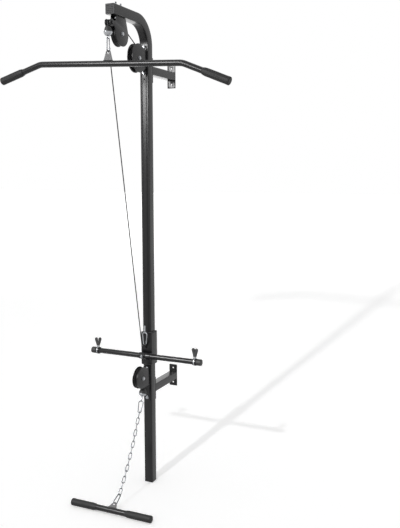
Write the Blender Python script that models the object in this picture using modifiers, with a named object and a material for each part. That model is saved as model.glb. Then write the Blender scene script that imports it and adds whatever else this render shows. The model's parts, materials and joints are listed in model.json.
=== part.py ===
# Wall-mounted strength station: a bent square post, two wall brackets, a cable over two
# pulleys to a weight carriage, and a low line round a third pulley.
# Metres, +Z up, -Y towards the user. Heights are given from the floor and depths from the
# post's axis, and the station empty moves them to the wall plate that holds the part.
import bpy
import bmesh
from math import acos, atan2, cos, hypot, pi, radians, sin, sqrt, tan
from mathutils import Vector

MM = 0.001
GAP = 0.3 * MM

# Post and boom, one bent square tube
POST_WIDTH = 45 * MM
POST_WALL = 2.5 * MM
POST_CORNER = 3 * MM
BOOM_HEIGHT = 2297 * MM
BOOM_REACH = 320 * MM
END_CAP_THICKNESS = 8 * MM
FOOT_CAP_THICKNESS = 4 * MM
CAP_PLUG_DEPTH = 18 * MM

# Wall brackets
STANDOFF = 272 * MM
PLATE_WIDTH = 45 * MM
PLATE_HEIGHT = 118 * MM
PLATE_THICKNESS = 4 * MM
PLATE_HOLE_RADIUS = 4.5 * MM
PLATE_HOLE_SPACING = 80 * MM
ARM_WIDTH = 44 * MM
ARM_HEIGHT = 40 * MM
UPPER_ARM_HEIGHT = BOOM_HEIGHT - 220 * MM
LOWER_PULLEY_HEIGHT = 573 * MM
LOWER_ARM_HEIGHT = LOWER_PULLEY_HEIGHT - 80 * MM
SPARE_HOLE_RADIUS = 4.5 * MM
SPARE_HOLE_DROP = 45 * MM

# Pulleys and their brackets
PULLEY_RADIUS = 52 * MM
PULLEY_WIDTH = 19 * MM
CABLE_RADIUS = 2.5 * MM
CABLE_CENTRE_RADIUS = 46.5 * MM
HUB_RADIUS = 17 * MM
BEARING_RADIUS = 11 * MM
AXLE_RADIUS = 5 * MM
AXLE_CLEARANCE = 0.15 * MM
CHEEK_GAP = 21 * MM
CHEEK_THICKNESS = 3.5 * MM
BOOM_PULLEY_DEPTH = 246 * MM
BOOM_PULLEY_HEIGHT = BOOM_HEIGHT - 95 * MM
POST_PULLEY_DEPTH = 92 * MM
UPPER_PULLEY_HEIGHT = BOOM_HEIGHT - 177 * MM
BOOM_CHEEK_RADIUS = 54 * MM
BOOM_WEB_FRONT = BOOM_PULLEY_DEPTH + 52 * MM
BOOM_WEB_REAR = BOOM_PULLEY_DEPTH - 32 * MM
UPPER_CHEEK_RADIUS = 66 * MM
UPPER_WEB_HALF_HEIGHT = 66 * MM
LOWER_WEB_BOTTOM = LOWER_PULLEY_HEIGHT - 133 * MM
LOWER_CHEEK_BOTTOM = LOWER_PULLEY_HEIGHT - 49 * MM
LOWER_CHEEK_FRONT = POST_PULLEY_DEPTH + 60 * MM
LOWER_CHEEK_CORNER = 44 * MM

# Guide roller in the nose of the boom bracket
NOSE_RADIUS = 16 * MM
ROLLER_AHEAD = 86 * MM
ROLLER_DEPTH = BOOM_PULLEY_DEPTH + ROLLER_AHEAD
ROLLER_FLANGE_RADIUS = 14.5 * MM
ROLLER_CORE_RADIUS = 9 * MM
ROLLER_AXLE_RADIUS = 4 * MM

# Bolts
BOLT_RADIUS = 4 * MM
BOLT_HEAD_RADIUS = 7.5 * MM
BOLT_HEAD_HEIGHT = 5.5 * MM
BOLT_CLEARANCE = 0.5 * MM
BOOM_BOLT_DEPTHS = (BOOM_PULLEY_DEPTH + 29 * MM, BOOM_PULLEY_DEPTH - 13 * MM)
BOOM_BOLT_STANDS_PROUD = 16 * MM
UPPER_BOLT_OFFSET = 58 * MM
LOWER_BOLT_HEIGHTS = (LOWER_PULLEY_HEIGHT + 33 * MM, LOWER_WEB_BOTTOM + 15 * MM)

# Carriage
SLEEVE_WIDTH = 60 * MM
SLEEVE_WALL = 3 * MM
SLEEVE_LENGTH = 160 * MM
SLEEVE_BOTTOM = LOWER_PULLEY_HEIGHT + 58 * MM
LINER_FLANGE = 4 * MM
LINER_DEPTH = 26 * MM
LINER_CLEARANCE = 0.5 * MM
BAR_RADIUS = 13.5 * MM
BAR_ABOVE_SLEEVE_BOTTOM = 45 * MM
HOLDER_RADIUS = 16.3 * MM
HOLDER_LENGTH = 62 * MM
WEIGHT_BAR_LENGTH = 612 * MM
BAR_CAP_RADIUS = 16 * MM
BAR_CAP_LENGTH = 24 * MM
BAR_CAP_END = 4 * MM
CARRIAGE_TAB_ABOVE_BOTTOM = 102 * MM
SET_SCREW_RADIUS = 3 * MM
SET_SCREW_OFFSET = -12 * MM
COLLAR_RADIUS = 21 * MM
COLLAR_WIDTH = 18 * MM
COLLAR_OFFSET = 275 * MM
COLLAR_BOSS_RADIUS = 7.5 * MM
COLLAR_BOSS_HEIGHT = 27 * MM
WING_SPAN = 36 * MM
WING_TOP = 68 * MM
WING_THICKNESS = 6 * MM
WING_SCREW_RADIUS = 3.5 * MM

# Line fittings
TAB_HOLE_RADIUS = 6.5 * MM
TAB_THICKNESS = 5 * MM
HOOK_LENGTH = 60 * MM
HOOK_HALF_WIDTH = 11 * MM
HOOK_WIRE_RADIUS = 2.6 * MM
HOOK_STEPS = 8
GATE_INSET = 13 * MM
FERRULE_RADIUS = 4.2 * MM
FERRULE_LENGTH = 24 * MM
EYE_WIRE_RADIUS = 1.6 * MM
EYE_HALF_WIDTH = 5.5 * MM
EYE_LENGTH = 15 * MM
STOPPER_TOP_RADIUS = 9 * MM
STOPPER_RADIUS = 16 * MM
STOPPER_LENGTH = 22 * MM
CUP_RADIUS = 20 * MM
CUP_HEIGHT = 16 * MM
CUP_RECESS = 3 * MM
LAT_NECK = 3 * MM
LOW_NECK = 16 * MM

# Lat bar
LAT_STOPPER_TOP = BOOM_HEIGHT - 75.5 * MM
TUBE_WALL = 2 * MM
LAT_TAB_HEIGHT = 48 * MM
LAT_STRAIGHT_HALF = 360 * MM
LAT_BEND_ANGLE = radians(19)
LAT_BEND_RADIUS = 90 * MM
LAT_END_LENGTH = 212 * MM
LAT_TILT = radians(2.8)
TAB_BASE = 46 * MM
TAB_TOP = 20 * MM
TAB_ABOVE_HOLE = 10 * MM
GRIP_LENGTH = 130 * MM
GRIP_RADIUS = 18 * MM
GRIP_END = 5 * MM

# Low line: hook, chain, bottom link and pull bar, hanging forwards to the floor
HOOK_LINE_LEAN = radians(22)
CHAIN_LEANS = (radians(25.5), radians(31), radians(37))
LOW_STOPPER_BELOW_TANGENT = 46 * MM
LINK_PITCH = 28.2 * MM
LINK_WIRE_RADIUS = 2.2 * MM
LINK_HALF_WIDTH = 6.5 * MM
LAST_LINK_HEIGHT = 58 * MM
LINK_BITE = 0.8 * MM
LOOP_STEPS = 4
BOTTOM_LINK_LENGTH = 54 * MM
PULL_BAR_HALF = 216 * MM
PULL_BAR_TAB = 36 * MM
PULL_GRIP_RADIUS = 17 * MM
BOTTOM_LINK_WIRE_RADIUS = 2.6 * MM
BOTTOM_LINK_HALF_WIDTH = 9 * MM
BOTTOM_LINK_STEPS = 8

ROUND_STEPS = 24
MIDDLE_STEPS = 16
SMALL_STEPS = 12

for old in list(bpy.data.objects):
    bpy.data.objects.remove(old, do_unlink=True)

PART = bpy.data.collections.new("strength_station")
CUTTERS = bpy.data.collections.new("cutters")
bpy.context.scene.collection.children.link(PART)
bpy.context.scene.collection.children.link(CUTTERS)


def finish(name, colour, roughness, metallic):
    """A Principled material; the colour is given in linear values."""
    made = bpy.data.materials.new(name)
    made.use_nodes = True
    shader = made.node_tree.nodes["Principled BSDF"]
    shader.inputs["Base Color"].default_value = (*colour, 1.0)
    shader.inputs["Roughness"].default_value = roughness
    shader.inputs["Metallic"].default_value = metallic
    return made


COATED = finish("coated_steel", (0.035, 0.035, 0.037), 0.45, 0.0)
ZINC = finish("zinc_steel", (0.60, 0.60, 0.58), 0.30, 1.0)
PULLEY_PLASTIC = finish("pulley_plastic", (0.018, 0.018, 0.018), 0.40, 0.0)
CAP_PLASTIC = finish("cap_plastic", (0.12, 0.12, 0.12), 0.55, 0.0)
RUBBER = finish("rubber", (0.022, 0.022, 0.022), 0.80, 0.0)
CABLE_SKIN = finish("cable", (0.07, 0.07, 0.072), 0.45, 0.3)


def pivot(name, at, parent=None, lean=0.0, tilt=0.0):
    """An empty that stands for a frame or a joint; lean turns it about X and tilt about Y."""
    empty = bpy.data.objects.new(name, None)
    empty.empty_display_size = 0.03
    PART.objects.link(empty)
    empty.parent = parent
    empty.location = at
    empty.rotation_euler = (lean, tilt, 0.0)
    return empty


STATION = pivot("station", (0.0, -STANDOFF, -UPPER_ARM_HEIGHT))
TURN_TO = {
    "Z": (0.0, 0.0, 0.0),
    "-Z": (pi, 0.0, 0.0),
    "X": (0.0, pi / 2, 0.0),
    "-X": (0.0, -pi / 2, 0.0),
    "Y": (-pi / 2, 0.0, 0.0),
    "-Y": (pi / 2, 0.0, 0.0),
}


def seat(obj, at, parent, axis="Z"):
    """Puts an object at a place in its parent's frame, its local Z turned to axis."""
    obj.parent = parent
    obj.location = at
    obj.rotation_euler = TURN_TO[axis]
    return obj


def add_mesh(name, shape, material, at, parent, axis="Z", group=PART):
    """Makes an object of a bmesh."""
    mesh = bpy.data.meshes.new(name)
    shape.to_mesh(mesh)
    shape.free()
    obj = bpy.data.objects.new(name, mesh)
    group.objects.link(obj)
    if material:
        mesh.materials.append(material)
    if group is CUTTERS:
        obj.hide_render = True
        obj.display_type = "WIRE"
    return seat(obj, at, parent, axis)


def box(name, size, at, material, parent=STATION, bevel=0.0, group=PART):
    """A box of a real size, with rounded edges if bevel is given."""
    shape = bmesh.new()
    bmesh.ops.create_cube(shape, size=1.0)
    bmesh.ops.scale(shape, vec=size, verts=shape.verts)
    obj = add_mesh(name, shape, material, at, parent, group=group)
    if bevel:
        edge = obj.modifiers.new("rounded", "BEVEL")
        edge.width = bevel
        edge.segments = 2
    return obj


def turned(name, profile, material, at, parent=STATION, axis="Z", steps=ROUND_STEPS,
           ring=False, group=PART):
    """A turned shape: the profile's (radius, height) points run from the top down outside."""
    shape = bmesh.new()
    points = [shape.verts.new((radius, 0.0, height)) for radius, height in profile]
    for first, second in zip(points, points[1:]):
        shape.edges.new((first, second))
    if ring:
        shape.edges.new((points[-1], points[0]))
    obj = add_mesh(name, shape, material, at, parent, axis, group)
    screw = obj.modifiers.new("turned", "SCREW")
    screw.angle = 2 * pi
    screw.steps = steps
    screw.render_steps = steps
    screw.use_merge_vertices = True
    screw.merge_threshold = 0.01 * MM
    screw.use_smooth_shade = False
    return obj


def rod_profile(radius, top, bottom):
    return [(0.0, top), (radius, top), (radius, bottom), (0.0, bottom)]


def ring_profile(outer, inner, top, bottom):
    return [(outer, top), (outer, bottom), (inner, bottom), (inner, top)]


def tube(name, route, radius, material, parent=STATION, closed=False, capped=True,
         sides_level=2, group=PART):
    """A round wire or tube along a route of points in its parent's frame."""
    line = bpy.data.curves.new(name, "CURVE")
    line.dimensions = "3D"
    line.bevel_depth = radius
    line.bevel_resolution = sides_level
    line.use_fill_caps = capped and not closed
    path = line.splines.new("POLY")
    path.points.add(len(route) - 1)
    for point, place in zip(path.points, route):
        point.co = (*place, 1.0)
    path.use_cyclic_u = closed
    obj = bpy.data.objects.new(name, line)
    group.objects.link(obj)
    if material:
        line.materials.append(material)
    if group is CUTTERS:
        obj.hide_render = True
        obj.display_type = "WIRE"
    return seat(obj, (0.0, 0.0, 0.0), parent)


def as_mesh(obj):
    """Turns a curve object into a mesh object, so that booleans can cut it."""
    bpy.context.view_layer.update()
    graph = bpy.context.evaluated_depsgraph_get()
    mesh = bpy.data.meshes.new_from_object(obj.evaluated_get(graph))
    shape = bmesh.new()
    shape.from_mesh(mesh)
    bmesh.ops.remove_doubles(shape, verts=shape.verts, dist=0.001 * MM)
    shape.to_mesh(mesh)
    shape.free()
    made = bpy.data.objects.new(obj.name + "_mesh", mesh)
    for group in obj.users_collection:
        group.objects.link(made)
    made.parent = obj.parent
    made.location = obj.location
    made.rotation_euler = obj.rotation_euler
    made.hide_render = obj.hide_render
    made.display_type = obj.display_type
    name = obj.name
    bpy.data.objects.remove(obj, do_unlink=True)
    made.name = name
    return made


def plate(name, outline, width, material, at=(0.0, 0.0, 0.0), parent=STATION, facing="X",
          group=PART):
    """A flat plate: its outline lies across facing, X for (y, z) points and Y for (x, z)."""
    flat = bpy.data.curves.new(name, "CURVE")
    flat.dimensions = "2D"
    flat.fill_mode = "BOTH"
    flat.extrude = width / 2
    edge = flat.splines.new("POLY")
    edge.points.add(len(outline) - 1)
    for point, (across, up) in zip(edge.points, outline):
        point.co = (across, up, 0.0, 1.0)
    edge.use_cyclic_u = True
    obj = bpy.data.objects.new(name, flat)
    group.objects.link(obj)
    if material:
        flat.materials.append(material)
    if group is CUTTERS:
        obj.hide_render = True
        obj.display_type = "WIRE"
    obj.parent = parent
    obj.location = at
    obj.rotation_euler = (pi / 2, 0.0, pi / 2) if facing == "X" else (pi / 2, 0.0, 0.0)
    return as_mesh(obj)


def combine(obj, other, operation):
    step = obj.modifiers.new(operation.lower(), "BOOLEAN")
    step.operation = operation
    step.solver = "EXACT"
    step.object = other
    return obj


def cut(obj, *cutters):
    for cutter in cutters:
        combine(obj, cutter, "DIFFERENCE")
    return obj


def weld(obj, *others):
    for other in others:
        combine(obj, other, "UNION")
    return obj


def clear_bore(radius, steps):
    """A faceted bore's radius, with the gap left at the middle of its flats."""
    return (radius + GAP) / cos(pi / steps)


def drill(name, radius, length, at, axis, parent=STATION, steps=SMALL_STEPS):
    """A round cutter, centred on its place."""
    return turned(name, rod_profile(radius, length / 2, -length / 2), None, at, parent,
                  axis, steps, group=CUTTERS)


def arc(centre, radius, start, end, count):
    """Points of an arc in a plane, from one angle to another."""
    angles = [start + (end - start) * i / count for i in range(count + 1)]
    return [(centre[0] + radius * cos(a), centre[1] + radius * sin(a)) for a in angles]


def in_yz(points):
    return [(0.0, y, z) for y, z in points]


def bolt(name, at, axis, grip_length, nut_radius, tail, parent=STATION):
    """A bolt with its nut: the head's seat is at the origin and the shank runs down -Z."""
    nut_top = -grip_length - GAP
    nut_bottom = nut_top - BOLT_HEAD_HEIGHT
    profile = [
        (0.0, BOLT_HEAD_HEIGHT),
        (BOLT_HEAD_RADIUS * 0.7, BOLT_HEAD_HEIGHT * 0.9),
        (BOLT_HEAD_RADIUS, GAP),
        (BOLT_RADIUS, GAP),
        (BOLT_RADIUS, nut_top),
        (nut_radius, nut_top),
        (nut_radius, nut_bottom),
        (BOLT_RADIUS, nut_bottom),
        (BOLT_RADIUS, nut_bottom - tail),
        (0.0, nut_bottom - tail),
    ]
    return turned(name, profile, ZINC, at, parent, axis, SMALL_STEPS)


def upright():
    """The post and boom; the bend starts at the upper bracket's top."""
    half = POST_WIDTH / 2
    bend_start = UPPER_PULLEY_HEIGHT + UPPER_WEB_HALF_HEIGHT
    bend_radius = BOOM_HEIGHT - bend_start
    shape = bmesh.new()
    corner_points = []
    for quarter in range(4):
        a = quarter * pi / 2
        centre_x = (half - POST_CORNER) * (1 if quarter in (0, 3) else -1)
        centre_y = (half - POST_CORNER) * (1 if quarter in (0, 1) else -1)
        corner_points += arc((centre_x, centre_y), POST_CORNER, a, a + pi / 2, 2)
    section = [shape.verts.new((x, y, FOOT_CAP_THICKNESS)) for x, y in corner_points]
    edges = [shape.edges.new((a, b)) for a, b in zip(section, section[1:] + section[:1])]
    risen = bmesh.ops.extrude_edge_only(shape, edges=edges)["geom"]
    verts = [g for g in risen if isinstance(g, bmesh.types.BMVert)]
    bmesh.ops.translate(shape, vec=(0, 0, bend_start - FOOT_CAP_THICKNESS), verts=verts)
    rim = [g for g in risen if isinstance(g, bmesh.types.BMEdge)]
    bent = bmesh.ops.spin(shape, geom=rim, cent=(0, -bend_radius, bend_start),
                          axis=(1, 0, 0), dvec=(0, 0, 0), angle=pi / 2, steps=9)
    rim = [g for g in bent["geom_last"] if isinstance(g, bmesh.types.BMEdge)]
    out = bmesh.ops.extrude_edge_only(shape, edges=rim)["geom"]
    verts = [g for g in out if isinstance(g, bmesh.types.BMVert)]
    bmesh.ops.translate(shape, vec=(0, bend_radius - BOOM_REACH, 0), verts=verts)
    bmesh.ops.recalc_face_normals(shape, faces=shape.faces)
    obj = add_mesh("upright", shape, COATED, (0, 0, 0), STATION)
    wall = obj.modifiers.new("wall", "SOLIDIFY")
    wall.thickness = POST_WALL
    wall.offset = -1.0
    for i, depth in enumerate(BOOM_BOLT_DEPTHS):
        cut(obj, drill(f"boom_bolt_way_{i}", BOLT_RADIUS + BOLT_CLEARANCE,
                       POST_WIDTH + 10 * MM, (0, -depth, BOOM_HEIGHT), "Z"))
    for i, height in enumerate(post_bolt_heights()):
        cut(obj, drill(f"post_bolt_way_{i}", BOLT_RADIUS + BOLT_CLEARANCE,
                       POST_WALL * 4, (0, -half, height), "Y"))
    cut(obj, drill("spare_way", SPARE_HOLE_RADIUS, POST_WALL * 4,
                   (0, -half, UPPER_ARM_HEIGHT - SPARE_HOLE_DROP), "Y"))
    return obj


def post_bolt_heights():
    upper = [UPPER_PULLEY_HEIGHT + side * UPPER_BOLT_OFFSET for side in (1, -1)]
    return upper + list(LOWER_BOLT_HEIGHTS)


def plug(name, thickness, at, axis, ribs=False):
    """A cap with a plug that fits inside the square tube, its outer face along axis."""
    inner = POST_WIDTH - 2 * POST_WALL - 2 * GAP
    turn = pivot(name + "_seat", at, STATION)
    turn.rotation_euler = TURN_TO[axis]
    cap = box(name, (POST_WIDTH, POST_WIDTH, thickness), (0, 0, thickness / 2 + GAP),
              CAP_PLASTIC, turn, bevel=1.5 * MM)
    core = box(name + "_core", (inner, inner, CAP_PLUG_DEPTH + thickness / 2),
               (0, 0, -CAP_PLUG_DEPTH / 2 + thickness / 4), None, turn,
               bevel=POST_CORNER / 2, group=CUTTERS)
    weld(cap, core)
    if ribs:
        count = 5
        for i in range(count):
            place = (i - (count - 1) / 2) * POST_WIDTH / (count + 1)
            groove = box(f"{name}_groove_{i}", (POST_WIDTH * 0.74, 2 * MM, 2 * MM),
                         (0, place, thickness + GAP), None, turn, group=CUTTERS)
            cut(cap, groove)
    return cap


def wall_bracket(name, height):
    """A rectangular arm with a plate at the post and a drilled plate at the wall."""
    rear = POST_WIDTH / 2 + GAP
    start = rear + PLATE_THICKNESS * 0.75
    wall_plate_front = STANDOFF - PLATE_THICKNESS
    overlap = 1 * MM
    length = wall_plate_front - start + 2 * overlap
    arm = box(name, (ARM_WIDTH, length, ARM_HEIGHT),
              (0, start + length / 2 - overlap, height), COATED)
    saddle = box(name + "_saddle", (PLATE_WIDTH, start - rear, PLATE_HEIGHT),
                 (0, (rear + start) / 2, height), None, group=CUTTERS)
    wall_plate = box(name + "_plate", (PLATE_WIDTH, PLATE_THICKNESS, PLATE_HEIGHT),
                     (0, STANDOFF - PLATE_THICKNESS / 2, height), None, group=CUTTERS)
    weld(arm, saddle, wall_plate)
    for side in (1, -1):
        cut(arm, drill(f"{name}_hole_{side}", PLATE_HOLE_RADIUS, PLATE_THICKNESS * 3,
                       (0, STANDOFF - PLATE_THICKNESS / 2,
                        height + side * PLATE_HOLE_SPACING / 2), "Y"))
    return arm


BRACKET_WIDTH = CHEEK_GAP + 2 * CHEEK_THICKNESS
WEB_FACE = POST_WIDTH / 2 + GAP
BOOM_UNDERSIDE = BOOM_HEIGHT - POST_WIDTH / 2
CABLE_TOP = BOOM_PULLEY_HEIGHT + CABLE_CENTRE_RADIUS
ROLLER_CABLE_RADIUS = ROLLER_CORE_RADIUS + CABLE_RADIUS
ROLLER_HEIGHT = CABLE_TOP - ROLLER_CABLE_RADIUS
BOOM_CENTRE = (-BOOM_PULLEY_DEPTH, BOOM_PULLEY_HEIGHT)
UPPER_CENTRE = (-POST_PULLEY_DEPTH, UPPER_PULLEY_HEIGHT)
LOWER_CENTRE = (-POST_PULLEY_DEPTH, LOWER_PULLEY_HEIGHT)
ROLLER_CENTRE = (-ROLLER_DEPTH, ROLLER_HEIGHT)


def pulley_gap(name, low, high):
    """The cutter that parts a bracket's two cheeks, from (y, z) low to high."""
    size = (CHEEK_GAP, high[0] - low[0], high[1] - low[1])
    middle = (0, (low[0] + high[0]) / 2, (low[1] + high[1]) / 2)
    return box(name + "_gap", size, middle, None, group=CUTTERS)


def boom_bracket():
    """Two cheeks under the boom: a lobe round the pulley and a nose for the guide roller."""
    name = "boom_pulley_bracket"
    top = BOOM_UNDERSIDE - GAP
    lobe = arc(BOOM_CENTRE, BOOM_CHEEK_RADIUS, radians(12), radians(-185), 16)
    nose = arc(ROLLER_CENTRE, NOSE_RADIUS, radians(-50), radians(-310), 12)
    waist = ROLLER_CENTRE[0] + NOSE_RADIUS + 6 * MM
    neck = NOSE_RADIUS * 0.62
    outline = [(-BOOM_WEB_REAR, top)] + lobe
    outline += [(waist, ROLLER_HEIGHT - neck)] + nose + [(waist, ROLLER_HEIGHT + neck)]
    outline += [(-BOOM_WEB_FRONT, ROLLER_HEIGHT + NOSE_RADIUS), (-BOOM_WEB_FRONT, top)]
    obj = plate(name, outline, BRACKET_WIDTH, COATED)
    front = -ROLLER_DEPTH - 2 * NOSE_RADIUS
    rear = BOOM_CENTRE[0] + 2 * BOOM_CHEEK_RADIUS
    bottom = BOOM_PULLEY_HEIGHT - 2 * BOOM_CHEEK_RADIUS
    cut(obj, pulley_gap(name, (front, bottom), (rear, top - CHEEK_THICKNESS)))
    for i, depth in enumerate(BOOM_BOLT_DEPTHS):
        cut(obj, drill(f"web_bolt_way_{i}", BOLT_RADIUS + BOLT_CLEARANCE,
                       CHEEK_THICKNESS * 3, (0, -depth, top), "Z"))
    cut(obj, axle_way(name, BOOM_CENTRE, AXLE_RADIUS),
        axle_way(name + "_nose", ROLLER_CENTRE, ROLLER_AXLE_RADIUS))
    return obj


def axle_way(name, centre, radius):
    return drill(name + "_axle_way", radius + AXLE_CLEARANCE, BRACKET_WIDTH * 2,
                 (0, *centre), "X")


def upper_bracket():
    """Two rounded cheeks on a flat web that is bolted to the front of the post."""
    name = "upper_pulley_bracket"
    web_front = -WEB_FACE - CHEEK_THICKNESS
    top = UPPER_PULLEY_HEIGHT + UPPER_WEB_HALF_HEIGHT
    bottom = UPPER_PULLEY_HEIGHT - UPPER_WEB_HALF_HEIGHT
    root = UPPER_WEB_HALF_HEIGHT * 0.56
    cheek = arc(UPPER_CENTRE, UPPER_CHEEK_RADIUS, radians(68), radians(292), 18)
    outline = [(-WEB_FACE, top), (web_front, top), (web_front, UPPER_PULLEY_HEIGHT + root)]
    outline += cheek
    outline += [(web_front, UPPER_PULLEY_HEIGHT - root), (web_front, bottom),
                (-WEB_FACE, bottom)]
    obj = plate(name, outline, BRACKET_WIDTH, COATED)
    reach = POST_PULLEY_DEPTH + UPPER_CHEEK_RADIUS + 20 * MM
    cut(obj, pulley_gap(name, (-reach, bottom - 5 * MM), (web_front, top + 5 * MM)))
    for side in (1, -1):
        cut(obj, drill(f"{name}_bolt_way_{side}", BOLT_RADIUS + BOLT_CLEARANCE,
                       CHEEK_THICKNESS * 3,
                       (0, -WEB_FACE, UPPER_PULLEY_HEIGHT + side * UPPER_BOLT_OFFSET), "Y"))
    cut(obj, axle_way(name, UPPER_CENTRE, AXLE_RADIUS))
    return obj


def lower_bracket():
    """Two squared cheeks on a long web; the carriage comes down on top of it."""
    name = "lower_pulley_bracket"
    top = SLEEVE_BOTTOM - LINER_FLANGE - GAP
    web_front = -WEB_FACE - CHEEK_THICKNESS
    r = LOWER_CHEEK_CORNER
    front = -LOWER_CHEEK_FRONT
    outline = [(-WEB_FACE, top)]
    outline += arc((front + r, top - r), r, radians(90), radians(180), 6)
    outline += arc((front + r, LOWER_CHEEK_BOTTOM + r), r, radians(180), radians(270), 6)
    outline += [(web_front, LOWER_CHEEK_BOTTOM), (web_front, LOWER_WEB_BOTTOM),
                (-WEB_FACE, LOWER_WEB_BOTTOM)]
    obj = plate(name, outline, BRACKET_WIDTH, COATED)
    cut(obj, pulley_gap(name, (front - 20 * MM, LOWER_WEB_BOTTOM - 5 * MM),
                        (web_front, top + 5 * MM)))
    for i, height in enumerate(LOWER_BOLT_HEIGHTS):
        cut(obj, drill(f"{name}_bolt_way_{i}", BOLT_RADIUS + BOLT_CLEARANCE,
                       CHEEK_THICKNESS * 3, (0, -WEB_FACE, height), "Y"))
    cut(obj, axle_way(name, LOWER_CENTRE, AXLE_RADIUS))
    return obj


def axle(name, centre, radius, head_radius):
    """A through-bolt with a domed head on the near side and a nut on the far side."""
    outer = BRACKET_WIDTH / 2 + GAP
    head = 6 * MM
    profile = [
        (0.0, outer + head),
        (head_radius * 0.65, outer + head),
        (head_radius, outer + head * 0.45),
        (head_radius, outer),
        (radius, outer),
        (radius, -outer),
        (head_radius, -outer),
        (head_radius, -outer - head),
        (0.0, -outer - head),
    ]
    return turned(name, profile, ZINC, (0, *centre), STATION, "X", SMALL_STEPS)


def pulley(name, centre):
    """A grooved wheel: rim, dished web and hub, round the outside and back up the bore."""
    half = PULLEY_WIDTH / 2
    groove = CABLE_CENTRE_RADIUS - CABLE_RADIUS - GAP
    bore = clear_bore(BEARING_RADIUS, ROUND_STEPS)
    lip = 1.6 * MM
    dish = 4.5 * MM
    inner_rim = groove - 4 * MM
    profile = [
        (PULLEY_RADIUS, half),
        (PULLEY_RADIUS, half - lip),
        (groove + 1.5 * MM, CABLE_RADIUS + GAP),
        (groove, CABLE_RADIUS * 0.5),
        (groove, -CABLE_RADIUS * 0.5),
        (groove + 1.5 * MM, -CABLE_RADIUS - GAP),
        (PULLEY_RADIUS, -half + lip),
        (PULLEY_RADIUS, -half),
        (inner_rim, -half),
        (inner_rim - 2 * MM, -half + dish),
        (HUB_RADIUS + 1 * MM, -half + dish),
        (HUB_RADIUS, -half),
        (bore, -half),
        (bore, half),
        (HUB_RADIUS, half),
        (HUB_RADIUS + 1 * MM, half - dish),
        (inner_rim - 2 * MM, half - dish),
        (inner_rim, half),
    ]
    return turned(name, profile, PULLEY_PLASTIC, (0, *centre), STATION, "X", ring=True)


def bearing(name, centre):
    half = PULLEY_WIDTH / 2 + 0.4 * MM
    bore = (AXLE_RADIUS + AXLE_CLEARANCE) / cos(pi / SMALL_STEPS)
    return turned(name, ring_profile(BEARING_RADIUS, bore, half, -half), ZINC,
                  (0, *centre), STATION, "X", SMALL_STEPS, ring=True)


def guide_roller():
    half = PULLEY_WIDTH / 2
    groove = ROLLER_CORE_RADIUS - GAP
    bore = (ROLLER_AXLE_RADIUS + AXLE_CLEARANCE) / cos(pi / MIDDLE_STEPS)
    profile = [
        (ROLLER_FLANGE_RADIUS, half),
        (ROLLER_FLANGE_RADIUS, half - 2 * MM),
        (groove, 2 * MM),
        (groove, -2 * MM),
        (ROLLER_FLANGE_RADIUS, -half + 2 * MM),
        (ROLLER_FLANGE_RADIUS, -half),
        (bore, -half),
        (bore, half),
    ]
    return turned("guide_roller", profile, PULLEY_PLASTIC, (0, *ROLLER_CENTRE), STATION,
                  "X", MIDDLE_STEPS, ring=True)


# Where the cable leaves each pulley; angles are from the rear, in the (y, z) plane
SPAN = (BOOM_CENTRE[0] - UPPER_CENTRE[0], BOOM_CENTRE[1] - UPPER_CENTRE[1])
SPAN_NORMAL = atan2(SPAN[1], SPAN[0]) - pi / 2
CARRIAGE_LINE_DEPTH = POST_PULLEY_DEPTH - CABLE_CENTRE_RADIUS
LAT_LINE_DEPTH = ROLLER_DEPTH + ROLLER_CABLE_RADIUS


def play_in_tab(wire_radius, loop_radius):
    """How far off a tab's hole centre a loop's wire bears, as the loop curves through it."""
    inside = loop_radius - wire_radius
    bow = inside - sqrt(inside ** 2 - (TAB_THICKNESS / 2) ** 2)
    return TAB_HOLE_RADIUS - wire_radius - bow - GAP


HOLE_PLAY = play_in_tab(HOOK_WIRE_RADIUS, HOOK_HALF_WIDTH)
EYE_BEARING = EYE_WIRE_RADIUS + HOOK_WIRE_RADIUS + GAP
EYE_BITE = EYE_LENGTH - EYE_BEARING
CARRIAGE_HOOK_TOP = SLEEVE_BOTTOM + CARRIAGE_TAB_ABOVE_BOTTOM + HOLE_PLAY + HOOK_LENGTH
CARRIAGE_CABLE_END = CARRIAGE_HOOK_TOP + EYE_BITE + FERRULE_LENGTH + GAP
STOPPER_TO_EYE = STOPPER_LENGTH - CUP_RECESS + GAP + CUP_HEIGHT
LAT_EYE_TOP = LAT_STOPPER_TOP - STOPPER_TO_EYE - LAT_NECK
LAT_HOOK_TOP = LAT_EYE_TOP - EYE_BITE
LAT_PIVOT_HEIGHT = LAT_HOOK_TOP - EYE_BEARING
HOOK_AXIS = (-sin(HOOK_LINE_LEAN), -cos(HOOK_LINE_LEAN))
LOW_TANGENT = (LOWER_CENTRE[0] + CABLE_CENTRE_RADIUS * cos(HOOK_LINE_LEAN),
               LOWER_CENTRE[1] - CABLE_CENTRE_RADIUS * sin(HOOK_LINE_LEAN))


def upper_cable():
    """From the carriage up, over both pulleys and the guide roller, and down to the hook."""
    route = [(-CARRIAGE_LINE_DEPTH, CARRIAGE_CABLE_END)]
    route += arc(UPPER_CENTRE, CABLE_CENTRE_RADIUS, 0.0, SPAN_NORMAL, 8)
    route += arc(BOOM_CENTRE, CABLE_CENTRE_RADIUS, SPAN_NORMAL, pi / 2, 5)
    route += arc(ROLLER_CENTRE, ROLLER_CABLE_RADIUS, pi / 2, pi, 6)
    route.append((-LAT_LINE_DEPTH, LAT_STOPPER_TOP - STOPPER_LENGTH))
    return tube("upper_cable", in_yz(route), CABLE_RADIUS, CABLE_SKIN)


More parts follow.
